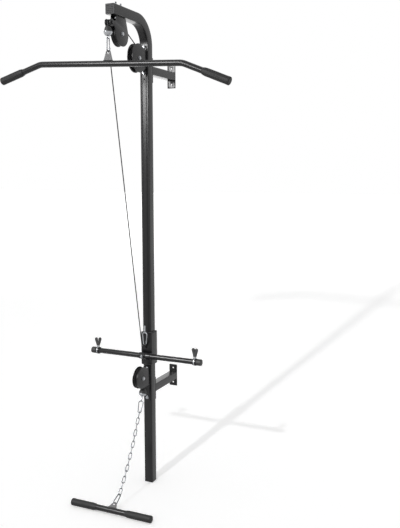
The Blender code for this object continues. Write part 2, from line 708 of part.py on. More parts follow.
# The low cable's eye hangs inside the lat hook's lower bend, behind the lat bar's tab
LOW_EYE_ANGLE = radians(-20)
LOW_EYE_INSIDE = HOOK_HALF_WIDTH - EYE_BEARING
LOW_EYE_PLACE = (-LAT_LINE_DEPTH + LOW_EYE_INSIDE * cos(LOW_EYE_ANGLE),
                 LAT_HOOK_TOP - HOOK_LENGTH + HOOK_HALF_WIDTH
                 + LOW_EYE_INSIDE * sin(LOW_EYE_ANGLE))


def low_run_angle():
    """The angle, from the rear, at which the low cable meets its pulley."""
    dy = LOW_EYE_PLACE[0] - LOWER_CENTRE[0]
    dz = LOW_EYE_PLACE[1] - LOWER_CENTRE[1]
    return atan2(dz, dy) - acos(CABLE_CENTRE_RADIUS / hypot(dy, dz))


LOW_RUN_ANGLE = low_run_angle()


def low_cable():
    """From the lat hook down behind the low pulley and out to the low stopper."""
    start = EYE_LENGTH + FERRULE_LENGTH + GAP
    run_start = (LOW_EYE_PLACE[0] + sin(LOW_RUN_ANGLE) * start,
                 LOW_EYE_PLACE[1] - cos(LOW_RUN_ANGLE) * start)
    route = [run_start]
    route += arc(LOWER_CENTRE, CABLE_CENTRE_RADIUS, LOW_RUN_ANGLE, -HOOK_LINE_LEAN, 8)
    far = LOW_STOPPER_BELOW_TANGENT + STOPPER_LENGTH
    route.append((LOW_TANGENT[0] + HOOK_AXIS[0] * far, LOW_TANGENT[1] + HOOK_AXIS[1] * far))
    return tube("low_cable", in_yz(route), CABLE_RADIUS, CABLE_SKIN)


def stadium(length, half_width, count=6):
    """The centreline of a long loop, its top at the origin; count is even, for a point there."""
    top = arc((0.0, -half_width), half_width, 0.0, pi, count)
    bottom = arc((0.0, half_width - length), half_width, pi, 2 * pi, count)
    return top + bottom


def in_plane(points, facing):
    """Puts (across, up) points in the plane across facing."""
    if facing == "X":
        return [(0.0, a, up) for a, up in points]
    return [(a, 0.0, up) for a, up in points]


def moved(points, by):
    return [tuple(Vector(p) + Vector(by)) for p in points]


def end_fitting(name, at, parent, facing, length, cup=False):
    """A wire eye with a pressed ferrule above it, and above that the cup of a stopper."""
    loop = moved(in_plane(stadium(EYE_LENGTH, EYE_HALF_WIDTH), facing), at)
    eye = as_mesh(tube(name, loop, EYE_WIRE_RADIUS, ZINC, parent, closed=True,
                       sides_level=1))
    top = at[2] + length
    low = at[2] - 2 * EYE_WIRE_RADIUS
    ferrule = turned(name + "_ferrule", rod_profile(FERRULE_RADIUS, top + cup * 1 * MM, low),
                     None, (at[0], at[1], 0.0), parent, steps=SMALL_STEPS, group=CUTTERS)
    weld(eye, ferrule)
    if cup:
        rim = top + CUP_HEIGHT
        lip = 2 * MM
        profile = [(0.0, rim - CUP_RECESS), (CUP_RADIUS - lip, rim - CUP_RECESS),
                   (CUP_RADIUS - lip, rim), (CUP_RADIUS, rim), (CUP_RADIUS, rim - 4 * MM),
                   (CUP_RADIUS * 0.75, rim - CUP_HEIGHT * 0.7),
                   (FERRULE_RADIUS + 3 * MM, top), (0.0, top)]
        bowl = turned(name + "_cup", profile, None, (at[0], at[1], 0.0), parent,
                      steps=MIDDLE_STEPS, group=CUTTERS)
        weld(eye, bowl)
    return eye


def snap_hook(name, at, parent, facing):
    """A snap hook, its top at a place, and the gate that swings inwards on its lower end."""
    gate_top = -GATE_INSET
    gate_bottom = GATE_INSET - HOOK_LENGTH
    loop = stadium(HOOK_LENGTH, HOOK_HALF_WIDTH, HOOK_STEPS)
    body = [(HOOK_HALF_WIDTH, gate_top)] + loop + [(HOOK_HALF_WIDTH, gate_bottom)]
    tube(name, moved(in_plane(body, facing), at), HOOK_WIRE_RADIUS, ZINC, parent,
         sides_level=1)
    r = HOOK_WIRE_RADIUS * 0.92
    pin = gate_bottom + r + GAP
    length = gate_top - GAP - pin - r
    dome = [(r * cos(a), length + r * sin(a)) for a in (pi / 2, pi / 3, pi / 6, 0.0)]
    foot = [(r * cos(a), -r * sin(a)) for a in (0.0, pi / 6, pi / 3, pi / 2)]
    dome[0] = (0.0, length + r)
    foot[-1] = (0.0, -r)
    across = (0.0, HOOK_HALF_WIDTH, pin) if facing == "X" else (HOOK_HALF_WIDTH, 0.0, pin)
    place = tuple(Vector(at) + Vector(across))
    turned(name + "_gate", dome + foot, ZINC, place, parent, steps=10)


def stopper(name, at, parent):
    """A rubber cone on the cable, its small end up."""
    bore = CABLE_RADIUS + GAP
    profile = [(STOPPER_TOP_RADIUS, at[2] + STOPPER_LENGTH),
               (STOPPER_TOP_RADIUS + 3 * MM, at[2] + STOPPER_LENGTH * 0.8),
               (STOPPER_RADIUS, at[2] + STOPPER_LENGTH * 0.25),
               (STOPPER_RADIUS, at[2]),
               (bore, at[2]),
               (bore, at[2] + STOPPER_LENGTH)]
    return turned(name, profile, RUBBER, (at[0], at[1], 0.0), parent, steps=MIDDLE_STEPS,
                  ring=True)


def hollow_tube(name, route, material, parent):
    """A walled tube along a route, open at both ends."""
    obj = tube(name, route, BAR_RADIUS, material, parent, capped=False, sides_level=4)
    obj = as_mesh(obj)
    wall = obj.modifiers.new("wall", "SOLIDIFY")
    wall.thickness = TUBE_WALL
    wall.offset = -1.0
    return obj


def hook_tab(name, drop, height, parent, facing):
    """A tab whose hole lies below the origin, and its base on a tube height below that."""
    base = height - BAR_RADIUS + 1.2 * MM
    outline = [(-TAB_BASE / 2, -base), (TAB_BASE / 2, -base),
               (TAB_TOP / 2, TAB_ABOVE_HOLE - 4 * MM)]
    outline += arc((0.0, 0.0), TAB_ABOVE_HOLE, radians(50), radians(130), 6)
    outline += [(-TAB_TOP / 2, TAB_ABOVE_HOLE - 4 * MM)]
    return plate(name, outline, TAB_THICKNESS, None, (0, 0, -drop), parent, facing,
                 group=CUTTERS)


def grip(name, at, turn, parent, radius, inner_length):
    """A rubber grip closed at its outer end, pushed on to a tube end; turn is about Y."""
    bore = clear_bore(BAR_RADIUS, MIDDLE_STEPS)
    shoulder = radius - 2 * MM
    profile = [
        (0.0, inner_length + GRIP_END),
        (radius - 2.5 * MM, inner_length + GRIP_END),
        (radius, inner_length + GRIP_END - 2.5 * MM),
        (radius, inner_length - 2 * MM),
        (shoulder, inner_length - 5 * MM),
        (shoulder + 1 * MM, inner_length * 0.5),
        (shoulder, 8 * MM),
        (radius, 6 * MM),
        (radius, 0.0),
        (bore, 0.0),
        (bore, inner_length + GAP),
        (0.0, inner_length + GAP),
    ]
    obj = turned(name, profile, RUBBER, at, parent, steps=MIDDLE_STEPS)
    obj.rotation_euler = (0.0, turn, 0.0)
    return obj


def lat_bar(parent):
    """The wide bar, its ends bent down; its frame is at the hook's wire in the tab's hole."""
    axis_z = -HOLE_PLAY - LAT_TAB_HEIGHT
    r = LAT_BEND_RADIUS
    bend_start = LAT_STRAIGHT_HALF - r * tan(LAT_BEND_ANGLE / 2)
    bend = arc((bend_start, axis_z - r), r, pi / 2, pi / 2 - LAT_BEND_ANGLE, 4)
    down = (cos(LAT_BEND_ANGLE), -sin(LAT_BEND_ANGLE))
    end = (bend[-1][0] + down[0] * LAT_END_LENGTH, bend[-1][1] + down[1] * LAT_END_LENGTH)
    right = bend + [end]
    left = [(-x, z) for x, z in reversed(right)]
    route = [(x, 0.0, z) for x, z in left + right]
    obj = hollow_tube("lat_bar", route, COATED, parent)
    weld(obj, hook_tab("lat_bar_tab", HOLE_PLAY, LAT_TAB_HEIGHT, parent, "Y"))
    cut(obj, drill("lat_tab_way", TAB_HOLE_RADIUS, TAB_THICKNESS * 3, (0, 0, -HOLE_PLAY), "Y",
                   parent))
    inner = GRIP_LENGTH - GRIP_END
    for side, word in ((1, "right"), (-1, "left")):
        at = (side * (end[0] - down[0] * inner), 0.0, end[1] - down[1] * inner)
        grip(f"lat_grip_{word}", at, side * (pi / 2 + LAT_BEND_ANGLE), parent, GRIP_RADIUS,
             inner)
    return obj


def carriage(parent):
    """The sleeve on the post with the welded bar holder and hook tab, and its liners."""
    inside = SLEEVE_WIDTH - 2 * SLEEVE_WALL
    sleeve = box("carriage_sleeve", (SLEEVE_WIDTH, SLEEVE_WIDTH, SLEEVE_LENGTH),
                 (0, 0, SLEEVE_LENGTH / 2), COATED, parent, bevel=3 * MM)
    bar_at = (0, -bar_depth(), BAR_ABOVE_SLEEVE_BOTTOM)
    half = HOLDER_LENGTH / 2
    holder = turned("bar_holder", rod_profile(HOLDER_RADIUS, half, -half), None, bar_at,
                    parent, "X", ROUND_STEPS, group=CUTTERS)
    tab_y = -CARRIAGE_LINE_DEPTH
    face = -SLEEVE_WIDTH / 2
    hole = (tab_y, CARRIAGE_TAB_ABOVE_BOTTOM)
    r = TAB_ABOVE_HOLE
    outline = [(face + 1 * MM, hole[1] + 2 * r), (face, hole[1] + 2 * r)]
    outline += arc(hole, r, radians(80), radians(280), 8)
    outline += [(face, hole[1] - 2 * r), (face + 1 * MM, hole[1] - 2 * r)]
    tab = plate("carriage_tab", outline, TAB_THICKNESS, None, (0, 0, 0), parent, "X",
                group=CUTTERS)
    core = box("sleeve_core", (inside, inside, SLEEVE_LENGTH * 1.2),
               (0, 0, SLEEVE_LENGTH / 2), None, parent, group=CUTTERS)
    bar_way = drill("bar_way", clear_bore(BAR_RADIUS, ROUND_STEPS), HOLDER_LENGTH * 2, bar_at,
                    "X", parent, ROUND_STEPS)
    screw_at = (SET_SCREW_OFFSET, -bar_depth() - HOLDER_RADIUS, BAR_ABOVE_SLEEVE_BOTTOM)
    screw_way = drill("set_screw_way", SET_SCREW_RADIUS + GAP, HOLDER_RADIUS, screw_at, "Y",
                      parent)
    tab_way = drill("carriage_tab_way", TAB_HOLE_RADIUS, TAB_THICKNESS * 3, (0, *hole), "X",
                    parent)
    weld(sleeve, holder, tab)
    cut(sleeve, core, bar_way, screw_way, tab_way)
    seat_depth = HOLDER_RADIUS - BAR_RADIUS - 2 * GAP
    screw = [(0.0, 5 * MM), (5 * MM, 4 * MM), (2 * SET_SCREW_RADIUS, GAP),
             (SET_SCREW_RADIUS, GAP), (SET_SCREW_RADIUS, -seat_depth), (0.0, -seat_depth)]
    turned("bar_set_screw", screw, ZINC, screw_at, parent, "-Y", SMALL_STEPS)
    liner("liner_bottom", 0.0, -1, parent)
    liner("liner_top", SLEEVE_LENGTH, 1, parent)
    return sleeve


def bar_depth():
    return SLEEVE_WIDTH / 2 + HOLDER_RADIUS - 2 * MM


def liner(name, end, way, parent):
    """A plastic bush in one end of the sleeve, with a flange outside it."""
    outer = SLEEVE_WIDTH - 2 * SLEEVE_WALL - 2 * GAP
    bore = POST_WIDTH + 2 * LINER_CLEARANCE
    flange = LINER_FLANGE - GAP
    obj = box(name, (SLEEVE_WIDTH - 2 * MM, SLEEVE_WIDTH - 2 * MM, flange),
              (0, 0, end + way * (GAP + flange / 2)), PULLEY_PLASTIC, parent, bevel=1 * MM)
    core = box(name + "_core", (outer, outer, LINER_DEPTH),
               (0, 0, end - way * (LINER_DEPTH / 2 - 1 * MM)), None, parent, group=CUTTERS)
    way_through = box(name + "_way", (bore, bore, LINER_DEPTH * 3), (0, 0, end), None,
                      parent, bevel=POST_CORNER / 2, group=CUTTERS)
    weld(obj, core)
    return cut(obj, way_through)


def weight_bar(parent):
    """The bar for the weight plates, its end caps, and a collar with a wing screw each side."""
    at = (0, -bar_depth(), BAR_ABOVE_SLEEVE_BOTTOM)
    half = WEIGHT_BAR_LENGTH / 2
    turned("weight_bar", rod_profile(BAR_RADIUS, half, -half), COATED, at, parent, "X", ROUND_STEPS)
    for side, word, axis in ((1, "right", "X"), (-1, "left", "-X")):
        bar_cap(f"bar_cap_{word}", (side * half, at[1], at[2]), parent, axis)
        collar(word, (side * COLLAR_OFFSET, at[1], at[2]), parent)


def bar_cap(name, at, parent, axis):
    inner = BAR_CAP_LENGTH - BAR_CAP_END
    bore = clear_bore(BAR_RADIUS, MIDDLE_STEPS)
    profile = [(0.0, BAR_CAP_END), (BAR_CAP_RADIUS - 2 * MM, BAR_CAP_END),
               (BAR_CAP_RADIUS, BAR_CAP_END - 2 * MM), (BAR_CAP_RADIUS, -inner),
               (bore, -inner), (bore, GAP), (0.0, GAP)]
    return turned(name, profile, RUBBER, at, parent, axis, MIDDLE_STEPS)


def collar(word, at, parent):
    """A collar with a threaded boss on top and a wing screw in it."""
    half = COLLAR_WIDTH / 2
    bore = clear_bore(BAR_RADIUS, ROUND_STEPS)
    ring = turned(f"collar_{word}", ring_profile(COLLAR_RADIUS, bore, half, -half), ZINC, at,
                  parent, "X", ROUND_STEPS, ring=True)
    low = (BAR_RADIUS + COLLAR_RADIUS) / 2
    boss = turned(f"collar_boss_{word}",
                  rod_profile(COLLAR_BOSS_RADIUS, COLLAR_BOSS_HEIGHT, low), None, at, parent,
                  "Z", SMALL_STEPS, group=CUTTERS)
    way = drill(f"collar_way_{word}", WING_SCREW_RADIUS + GAP, COLLAR_RADIUS * 2,
                (at[0], at[1], at[2] + BAR_RADIUS + COLLAR_RADIUS), "Z", parent)
    weld(ring, boss)
    cut(ring, way)
    base = COLLAR_BOSS_HEIGHT + GAP
    hub_top = base + 12 * MM
    stem = [(0.0, hub_top), (6 * MM, hub_top), (9 * MM, base), (WING_SCREW_RADIUS, base),
            (WING_SCREW_RADIUS, BAR_RADIUS + GAP), (0.0, BAR_RADIUS + GAP)]
    screw = turned(f"wing_screw_{word}", stem, PULLEY_PLASTIC, at, parent, "Z", SMALL_STEPS)
    ear = arc((WING_SPAN / 2 - 7 * MM, WING_TOP - 7 * MM), 7 * MM, radians(150),
              radians(-40), 6)
    outline = [(-4 * MM, base + 2 * MM), (4 * MM, base + 2 * MM)]
    outline += list(reversed(ear)) + [(0.0, hub_top + 2 * MM)]
    outline += [(-x, z) for x, z in ear]
    wings = plate(f"wings_{word}", outline, WING_THICKNESS, None, at, parent, "Y",
                  group=CUTTERS)
    return weld(screw, wings)


def chain_group(index, first, count, top, parent):
    """Links fused where they bear on each other, every second one turned a quarter."""
    links = []
    for i in range(count):
        facing = "X" if (first + i) % 2 == 0 else "Y"
        loop = stadium(LINK_PITCH + 2 * LINK_WIRE_RADIUS, LINK_HALF_WIDTH, LOOP_STEPS)
        route = moved(in_plane(loop, facing), (0.0, 0.0, top - i * (LINK_PITCH + LINK_BITE)))
        name = f"chain_{index}" if i == 0 else f"chain_{index}_link_{i}"
        group = PART if i == 0 else CUTTERS
        links.append(as_mesh(tube(name, route, LINK_WIRE_RADIUS, ZINC, parent, closed=True,
                                  sides_level=1, group=group)))
    return weld(links[0], *links[1:])


def pull_bar(parent, play):
    """The short bar on the floor; its frame is at the link's wire in the tab's hole."""
    axis_z = -play - PULL_BAR_TAB
    route = [(side * (PULL_BAR_HALF - GRIP_END), 0.0, axis_z) for side in (-1, 1)]
    obj = hollow_tube("pull_bar", route, COATED, parent)
    weld(obj, hook_tab("pull_bar_tab", play, PULL_BAR_TAB, parent, "Y"))
    cut(obj, drill("pull_tab_way", TAB_HOLE_RADIUS, TAB_THICKNESS * 3, (0, 0, -play), "Y",
                   parent))
    inner = GRIP_LENGTH + 2 * MM
    for side, word in ((1, "right"), (-1, "left")):
        at = (side * (PULL_BAR_HALF - GRIP_END - inner), 0.0, axis_z)
        grip(f"pull_grip_{word}", at, side * pi / 2, parent, PULL_GRIP_RADIUS, inner)
    return obj


def bearing_distance(wires, holder_steps, held_steps, lean=0.0):
    """How far apart two faceted loops' wires lie, one in the bend of the other."""
    return (wires + GAP) / cos(pi / holder_steps / 2) / cos(pi / held_steps / 2 + lean)


def links_in_groups(height):
    """How many links each of the three groups has, to come down to the last link's height."""
    total = round((height - LAST_LINK_HEIGHT) / (LINK_PITCH * cos(CHAIN_LEANS[1])))
    return [(total + 2 - i) // 3 for i in range(3)]


def low_line():
    """The low stopper and hook, and the chain; gives the place of its last wire."""
    line = pivot("low_line", (0, *LOW_TANGENT), STATION, lean=-HOOK_LINE_LEAN)
    stopper_top = -LOW_STOPPER_BELOW_TANGENT
    stopper("low_stopper", (0, 0, stopper_top - STOPPER_LENGTH), line)
    eye_top = stopper_top - STOPPER_TO_EYE - LOW_NECK
    end_fitting("low_end_fitting", (0, 0, eye_top), line, "X", LOW_NECK, cup=True)
    hook_top = eye_top - EYE_BITE
    snap_hook("low_hook", (0, 0, 0), pivot("low_hook_pivot", (0, 0, hook_top), line), "Y")
    held_by = Vector((0.0, *LOW_TANGENT)) + leaning(HOOK_LINE_LEAN) * (HOOK_LENGTH - hook_top)
    wires = HOOK_WIRE_RADIUS + LINK_WIRE_RADIUS
    holder_steps = HOOK_STEPS
    last_lean = HOOK_LINE_LEAN
    first = 0
    for index, (lean, count) in enumerate(zip(CHAIN_LEANS, links_in_groups(held_by.z))):
        above = bearing_distance(wires, holder_steps, LOOP_STEPS, lean - last_lean)
        place = held_by - leaning(lean) * above
        turns_in_plane = first % 2 == 0
        joint = pivot(f"chain_{index + 1}_pivot", held_by if turns_in_plane else place,
                      STATION, lean=-lean)
        chain_group(index + 1, first, count, above if turns_in_plane else 0.0, joint)
        first += count
        reach = count * LINK_PITCH + (count - 1) * LINK_BITE + 2 * LINK_WIRE_RADIUS
        held_by = place + leaning(lean) * reach
        wires = 2 * LINK_WIRE_RADIUS
        holder_steps = LOOP_STEPS
        last_lean = lean
    return held_by


def leaning(lean):
    """The direction down a line that leans forwards from the vertical."""
    return Vector((0.0, -sin(lean), -cos(lean)))


def bottom_link_and_bar(last_wire):
    """The link from the chain to the pull bar, which lies on the floor, both in one line."""
    seat_gap = bearing_distance(LINK_WIRE_RADIUS + BOTTOM_LINK_WIRE_RADIUS, LOOP_STEPS,
                                BOTTOM_LINK_STEPS)
    play = play_in_tab(BOTTOM_LINK_WIRE_RADIUS, BOTTOM_LINK_HALF_WIDTH)
    reach = BOTTOM_LINK_LENGTH - seat_gap
    lean = acos((last_wire.z - PULL_GRIP_RADIUS) / (reach + play + PULL_BAR_TAB))
    link_frame = pivot("bottom_link_pivot", last_wire, STATION, lean=-lean)
    loop = in_plane(stadium(BOTTOM_LINK_LENGTH, BOTTOM_LINK_HALF_WIDTH, BOTTOM_LINK_STEPS),
                    "X")
    tube("bottom_link", moved(loop, (0.0, 0.0, seat_gap)), BOTTOM_LINK_WIRE_RADIUS, ZINC,
         link_frame, closed=True)
    wire = last_wire + leaning(lean) * reach
    pull_bar(pivot("pull_bar_pivot", wire, STATION, lean=-lean), play)


upright()
plug("boom_end_cap", END_CAP_THICKNESS, (0, -BOOM_REACH, BOOM_HEIGHT), "-Y", ribs=True)
plug("foot_cap", FOOT_CAP_THICKNESS - GAP, (0, 0, FOOT_CAP_THICKNESS), "-Z")
wall_bracket("upper_wall_bracket", UPPER_ARM_HEIGHT)
wall_bracket("lower_wall_bracket", LOWER_ARM_HEIGHT)
boom_bracket()
upper_bracket()
lower_bracket()

for word, depth in zip(("front", "rear"), BOOM_BOLT_DEPTHS):
    web_low = BOOM_UNDERSIDE - GAP - CHEEK_THICKNESS
    bolt(f"boom_bolt_{word}", (0, -depth, web_low), "-Z",
         POST_WIDTH + CHEEK_THICKNESS + GAP, BOLT_HEAD_RADIUS,
         BOOM_BOLT_STANDS_PROUD - BOLT_HEAD_HEIGHT)
for word, height in zip(("upper_top", "upper_bottom", "lower_top", "lower_bottom"),
                        post_bolt_heights()):
    bolt(f"bracket_bolt_{word}", (0, -WEB_FACE - CHEEK_THICKNESS, height), "-Y",
         CHEEK_THICKNESS + GAP + POST_WALL, BOLT_HEAD_RADIUS, 4 * MM)

for word, centre in (("boom", BOOM_CENTRE), ("upper", UPPER_CENTRE), ("lower", LOWER_CENTRE)):
    axle(f"{word}_axle", centre, AXLE_RADIUS, 8.5 * MM)
    bearing(f"{word}_bearing", centre)
    pulley(f"{word}_pulley", centre)
axle("guide_axle", ROLLER_CENTRE, ROLLER_AXLE_RADIUS, 7 * MM)
guide_roller()
upper_cable()
low_cable()

CARRIAGE = pivot("carriage", (0, 0, SLEEVE_BOTTOM), STATION)
carriage(CARRIAGE)
weight_bar(CARRIAGE)
hook_z = CARRIAGE_HOOK_TOP - SLEEVE_BOTTOM
snap_hook("carriage_hook", (0, -CARRIAGE_LINE_DEPTH, hook_z), CARRIAGE, "Y")
end_fitting("carriage_end_fitting", (0, -CARRIAGE_LINE_DEPTH, hook_z + EYE_BITE), CARRIAGE,
            "X", FERRULE_LENGTH)

LAT_LINE = pivot("lat_line", (0, -LAT_LINE_DEPTH, LAT_PIVOT_HEIGHT), STATION)
stopper("lat_stopper", (0, 0, LAT_STOPPER_TOP - STOPPER_LENGTH - LAT_PIVOT_HEIGHT), LAT_LINE)
end_fitting("lat_end_fitting", (0, 0, EYE_LENGTH), LAT_LINE, "Y", LAT_NECK, cup=True)
snap_hook("lat_hook", (0, 0, EYE_BEARING), LAT_LINE, "X")
LAT_BAR = pivot("lat_bar_pivot", (0, -LAT_LINE_DEPTH, LAT_HOOK_TOP - HOOK_LENGTH), STATION,
                tilt=LAT_TILT)
lat_bar(LAT_BAR)
LOW_TOP = pivot("low_cable_top", (0, *LOW_EYE_PLACE), STATION, lean=pi + LOW_RUN_ANGLE)
end_fitting("low_cable_top_fitting", (0, 0, EYE_LENGTH), LOW_TOP, "Y", FERRULE_LENGTH)

bottom_link_and_bar(low_line())
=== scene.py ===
"""The looks of a wall-mounted strength station: a bent square post on two wall arms, three
pulleys, a weight carriage, a wide bar on the high line and a short bar on the low chain.
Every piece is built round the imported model, in metres, with +Z up and -Y to the user."""
import json
from math import acos, atan2, cos, hypot, pi, radians, sin, sqrt, tan

import bmesh
import bpy
from mathutils import Matrix, Vector

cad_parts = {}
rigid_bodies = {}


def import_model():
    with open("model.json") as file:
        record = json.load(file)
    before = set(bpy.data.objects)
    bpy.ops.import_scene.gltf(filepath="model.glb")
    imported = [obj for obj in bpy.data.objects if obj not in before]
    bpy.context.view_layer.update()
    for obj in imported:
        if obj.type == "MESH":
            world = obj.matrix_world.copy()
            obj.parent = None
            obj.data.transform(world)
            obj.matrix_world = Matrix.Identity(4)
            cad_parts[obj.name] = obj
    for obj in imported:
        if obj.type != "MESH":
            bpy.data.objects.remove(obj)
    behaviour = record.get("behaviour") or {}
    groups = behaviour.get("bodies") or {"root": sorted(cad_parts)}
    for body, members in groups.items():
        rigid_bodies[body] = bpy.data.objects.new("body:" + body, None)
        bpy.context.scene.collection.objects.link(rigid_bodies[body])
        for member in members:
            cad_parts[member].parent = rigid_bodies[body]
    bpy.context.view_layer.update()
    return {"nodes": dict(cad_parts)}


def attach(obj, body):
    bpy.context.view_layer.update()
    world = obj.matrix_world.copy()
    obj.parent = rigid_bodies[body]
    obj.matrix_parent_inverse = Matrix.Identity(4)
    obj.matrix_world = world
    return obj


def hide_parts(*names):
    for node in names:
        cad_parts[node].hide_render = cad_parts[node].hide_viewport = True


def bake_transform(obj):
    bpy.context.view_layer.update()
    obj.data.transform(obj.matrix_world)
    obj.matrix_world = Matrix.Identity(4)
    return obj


for old in list(bpy.data.objects):
    bpy.data.objects.remove(old, do_unlink=True)

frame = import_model()

MM = 0.001
WALL_TO_POST = 272 * MM
MOUNT_TO_FLOOR = 2077 * MM
FLOOR = -MOUNT_TO_FLOOR


def spot(depth, height, x=0.0):
    """A place in the shared frame, from a depth off the post's axis and a height."""
    return Vector((x, depth - WALL_TO_POST, height - MOUNT_TO_FLOOR))


# Camera, at the photograph's place: 400 x 528 pixels with a focal length of 700 pixels
FRAME_HEIGHT = 528
FOCAL_PIXELS = 700
SENSOR = 36.0
PITCH_DOWN = 7.72
ROLL = 0.04
HEADING = 24.29
lens = bpy.data.cameras.new("photo_camera")
lens.sensor_width = SENSOR
lens.lens = SENSOR * FOCAL_PIXELS / FRAME_HEIGHT
camera = bpy.data.objects.new("photo_camera", lens)
camera.location = (1.659, -3.321, -0.472)
camera.rotation_euler = (radians(90 - PITCH_DOWN), radians(ROLL), radians(HEADING))
bpy.context.scene.collection.objects.link(camera)
bpy.context.scene.camera = camera
bpy.context.scene.view_settings.view_transform = "Standard"


# Materials

def linear(code):
    """An sRGB hex colour as linear values."""
    parts = [int(code[i:i + 2], 16) / 255 for i in (0, 2, 4)]
    return [c / 12.92 if c <= 0.04045 else ((c + 0.055) / 1.055) ** 2.4 for c in parts] + [1.0]


def add(tree, kind, values=None, links=None, **settings):
    """Adds a node: its settings, its sockets' constants and what is linked to it."""
    made = tree.nodes.new(kind)
    for key, value in settings.items():
        setattr(made, key, value)
    for key, value in (values or {}).items():
        made.inputs[key].default_value = value
    for key, output in (links or {}).items():
        tree.links.new(output, made.inputs[key])
    return made


# A Mix node's sockets for colours go by number, because its other kinds share their names
FACTOR, FIRST_COLOUR, SECOND_COLOUR, MIXED_COLOUR = 0, 6, 7, 2


def surface(name, dark, light, patch, rough, grain, depth, metallic=0.0, speck=None, shine=0.5):
    """A shader whose colour drifts between two tones in patches, with a fine grain in its
    roughness and bump. Patch, grain and depth are real sizes in metres. A speck is a colour,
    the spacing of its dots and their share of it; shine is the specular level."""
    made = bpy.data.materials.new(name)
    made.use_nodes = True
    tree = made.node_tree
    shader = tree.nodes["Principled BSDF"]
    where = add(tree, "ShaderNodeTexCoord").outputs["Object"]
    broad = add(tree, "ShaderNodeTexNoise", {"Scale": 1 / patch, "Detail": 3.0},
                {"Vector": where})
    fine = add(tree, "ShaderNodeTexNoise", {"Scale": 1 / grain, "Detail": 2.0},
               {"Vector": where})
    tone = add(tree, "ShaderNodeMix", {FIRST_COLOUR: linear(dark), SECOND_COLOUR: linear(light)},
               {FACTOR: broad.outputs["Fac"]}, data_type="RGBA")
    if speck:
        code, spacing, share = speck
        cells = add(tree, "ShaderNodeTexVoronoi", {"Scale": 1 / spacing}, {"Vector": where})
        near = add(tree, "ShaderNodeMapRange", {"From Min": share, "From Max": share * 0.5},
                   {"Value": cells.outputs["Distance"]})
        tone = add(tree, "ShaderNodeMix", {SECOND_COLOUR: linear(code)},
                   {FACTOR: near.outputs["Result"], FIRST_COLOUR: tone.outputs[MIXED_COLOUR]},
                   data_type="RGBA")
    span = add(tree, "ShaderNodeMapRange", {"To Min": rough[0], "To Max": rough[1]},
               {"Value": fine.outputs["Fac"]})
    bump = add(tree, "ShaderNodeBump", {"Distance": depth, "Strength": 0.6},
               {"Height": fine.outputs["Fac"]})
    tree.links.new(tone.outputs[MIXED_COLOUR], shader.inputs["Base Color"])
    tree.links.new(span.outputs["Result"], shader.inputs["Roughness"])
    tree.links.new(bump.outputs["Normal"], shader.inputs["Normal"])
    shader.inputs["Metallic"].default_value = metallic
    shader.inputs["Specular IOR Level"].default_value = shine
    return made


# Epoxy-polyester powder coat, sprayed and baked: near-black, satin, with fine orange peel
POWDER_COAT = surface("powder_coated_steel", "1a1a1b", "242425", 90 * MM, (0.20, 0.28),
                      2.4 * MM, 0.005 * MM, speck=("303032", 5 * MM, 0.10), shine=0.28)
# The welded tabs' lighter grey coat, thinner and duller
GREY_COAT = surface("grey_coated_steel", "7f7f80", "8f8f90", 12 * MM, (0.55, 0.65), 1.4 * MM,
                    0.02 * MM, shine=0.2)
# Bright zinc plating on pressed steel: cool silver with cloudy passivation
ZINC_PLATE = surface("zinc_plated_steel", "8f9194", "b6b8bb", 9 * MM, (0.22, 0.40), 0.9 * MM,
                     0.02 * MM, metallic=1.0)
# Zinc-plated drawn wire, hand-worn: a deeper grey, in patches where hands have dulled it
WORN_WIRE = surface("zinc_plated_wire", "56585b", "85878a", 7 * MM, (0.24, 0.42), 0.8 * MM,
                    0.03 * MM, metallic=1.0)
# Glass-filled nylon, injection moulded: black with a soft sheen and a fine moulded grain
NYLON = surface("moulded_nylon", "131314", "1d1d1e", 14 * MM, (0.34, 0.48), 0.8 * MM,
                0.03 * MM, shine=0.3)
# Polyethylene end plug, moulded: a paler charcoal that scuffs dull
PLUG_PLASTIC = surface("moulded_polyethylene", "3e3e3f", "4c4c4d", 10 * MM, (0.50, 0.62),
                       1.0 * MM, 0.02 * MM, shine=0.25)
# Nitrile rubber sleeve on the handles: matt charcoal with fine pores
GRIP_RUBBER = surface("nitrile_rubber_sleeve", "1f1f20", "29292a", 16 * MM, (0.50, 0.62),
                      1.1 * MM, 0.04 * MM, speck=("161617", 2.2 * MM, 0.12), shine=0.25)
# Solid moulded rubber of the cable's stoppers and the bar's caps: black and matt
STOP_RUBBER = surface("moulded_rubber", "151515", "1f1f1f", 8 * MM, (0.50, 0.65), 1.0 * MM,
                      0.05 * MM)
# PVC-sheathed wire rope: charcoal plastic skin, semi-gloss, over the strands' lay
SHEATH = surface("pvc_sheathed_rope", "19191a", "252527", 25 * MM, (0.34, 0.46), 1.2 * MM,
                 0.02 * MM, shine=0.25)


# Frames and outlines

AXES = {"Z": (0, 0), "-Z": (pi, 0), "X": (0, pi / 2), "-X": (0, -pi / 2),
        "Y": (-pi / 2, 0), "-Y": (pi / 2, 0)}


def turn(axis, place=(0, 0, 0)):
    """A frame whose Z points along an axis, at a place."""
    x, y = AXES[axis]
    return (Matrix.Translation(place) @ Matrix.Rotation(y, 4, "Y")
            @ Matrix.Rotation(x, 4, "X"))


def hung(place, lean=0.0, tilt=0.0):
    """A frame that leans about X or tilts about Y, at a place."""
    return (Matrix.Translation(place) @ Matrix.Rotation(tilt, 4, "Y")
            @ Matrix.Rotation(lean, 4, "X"))


def circle(radius, steps):
    return [(radius * cos(2 * pi * i / steps), radius * sin(2 * pi * i / steps))
            for i in range(steps)]


def arc(centre, radius, start, end, count):
    angles = [start + (end - start) * i / count for i in range(count + 1)]
    return [(centre[0] + radius * cos(a), centre[1] + radius * sin(a)) for a in angles]


def mirrored(points):
    """A profile's upper points and then their mirror image below, in turn."""
    return points + [(r, -z) for r, z in reversed(points)]


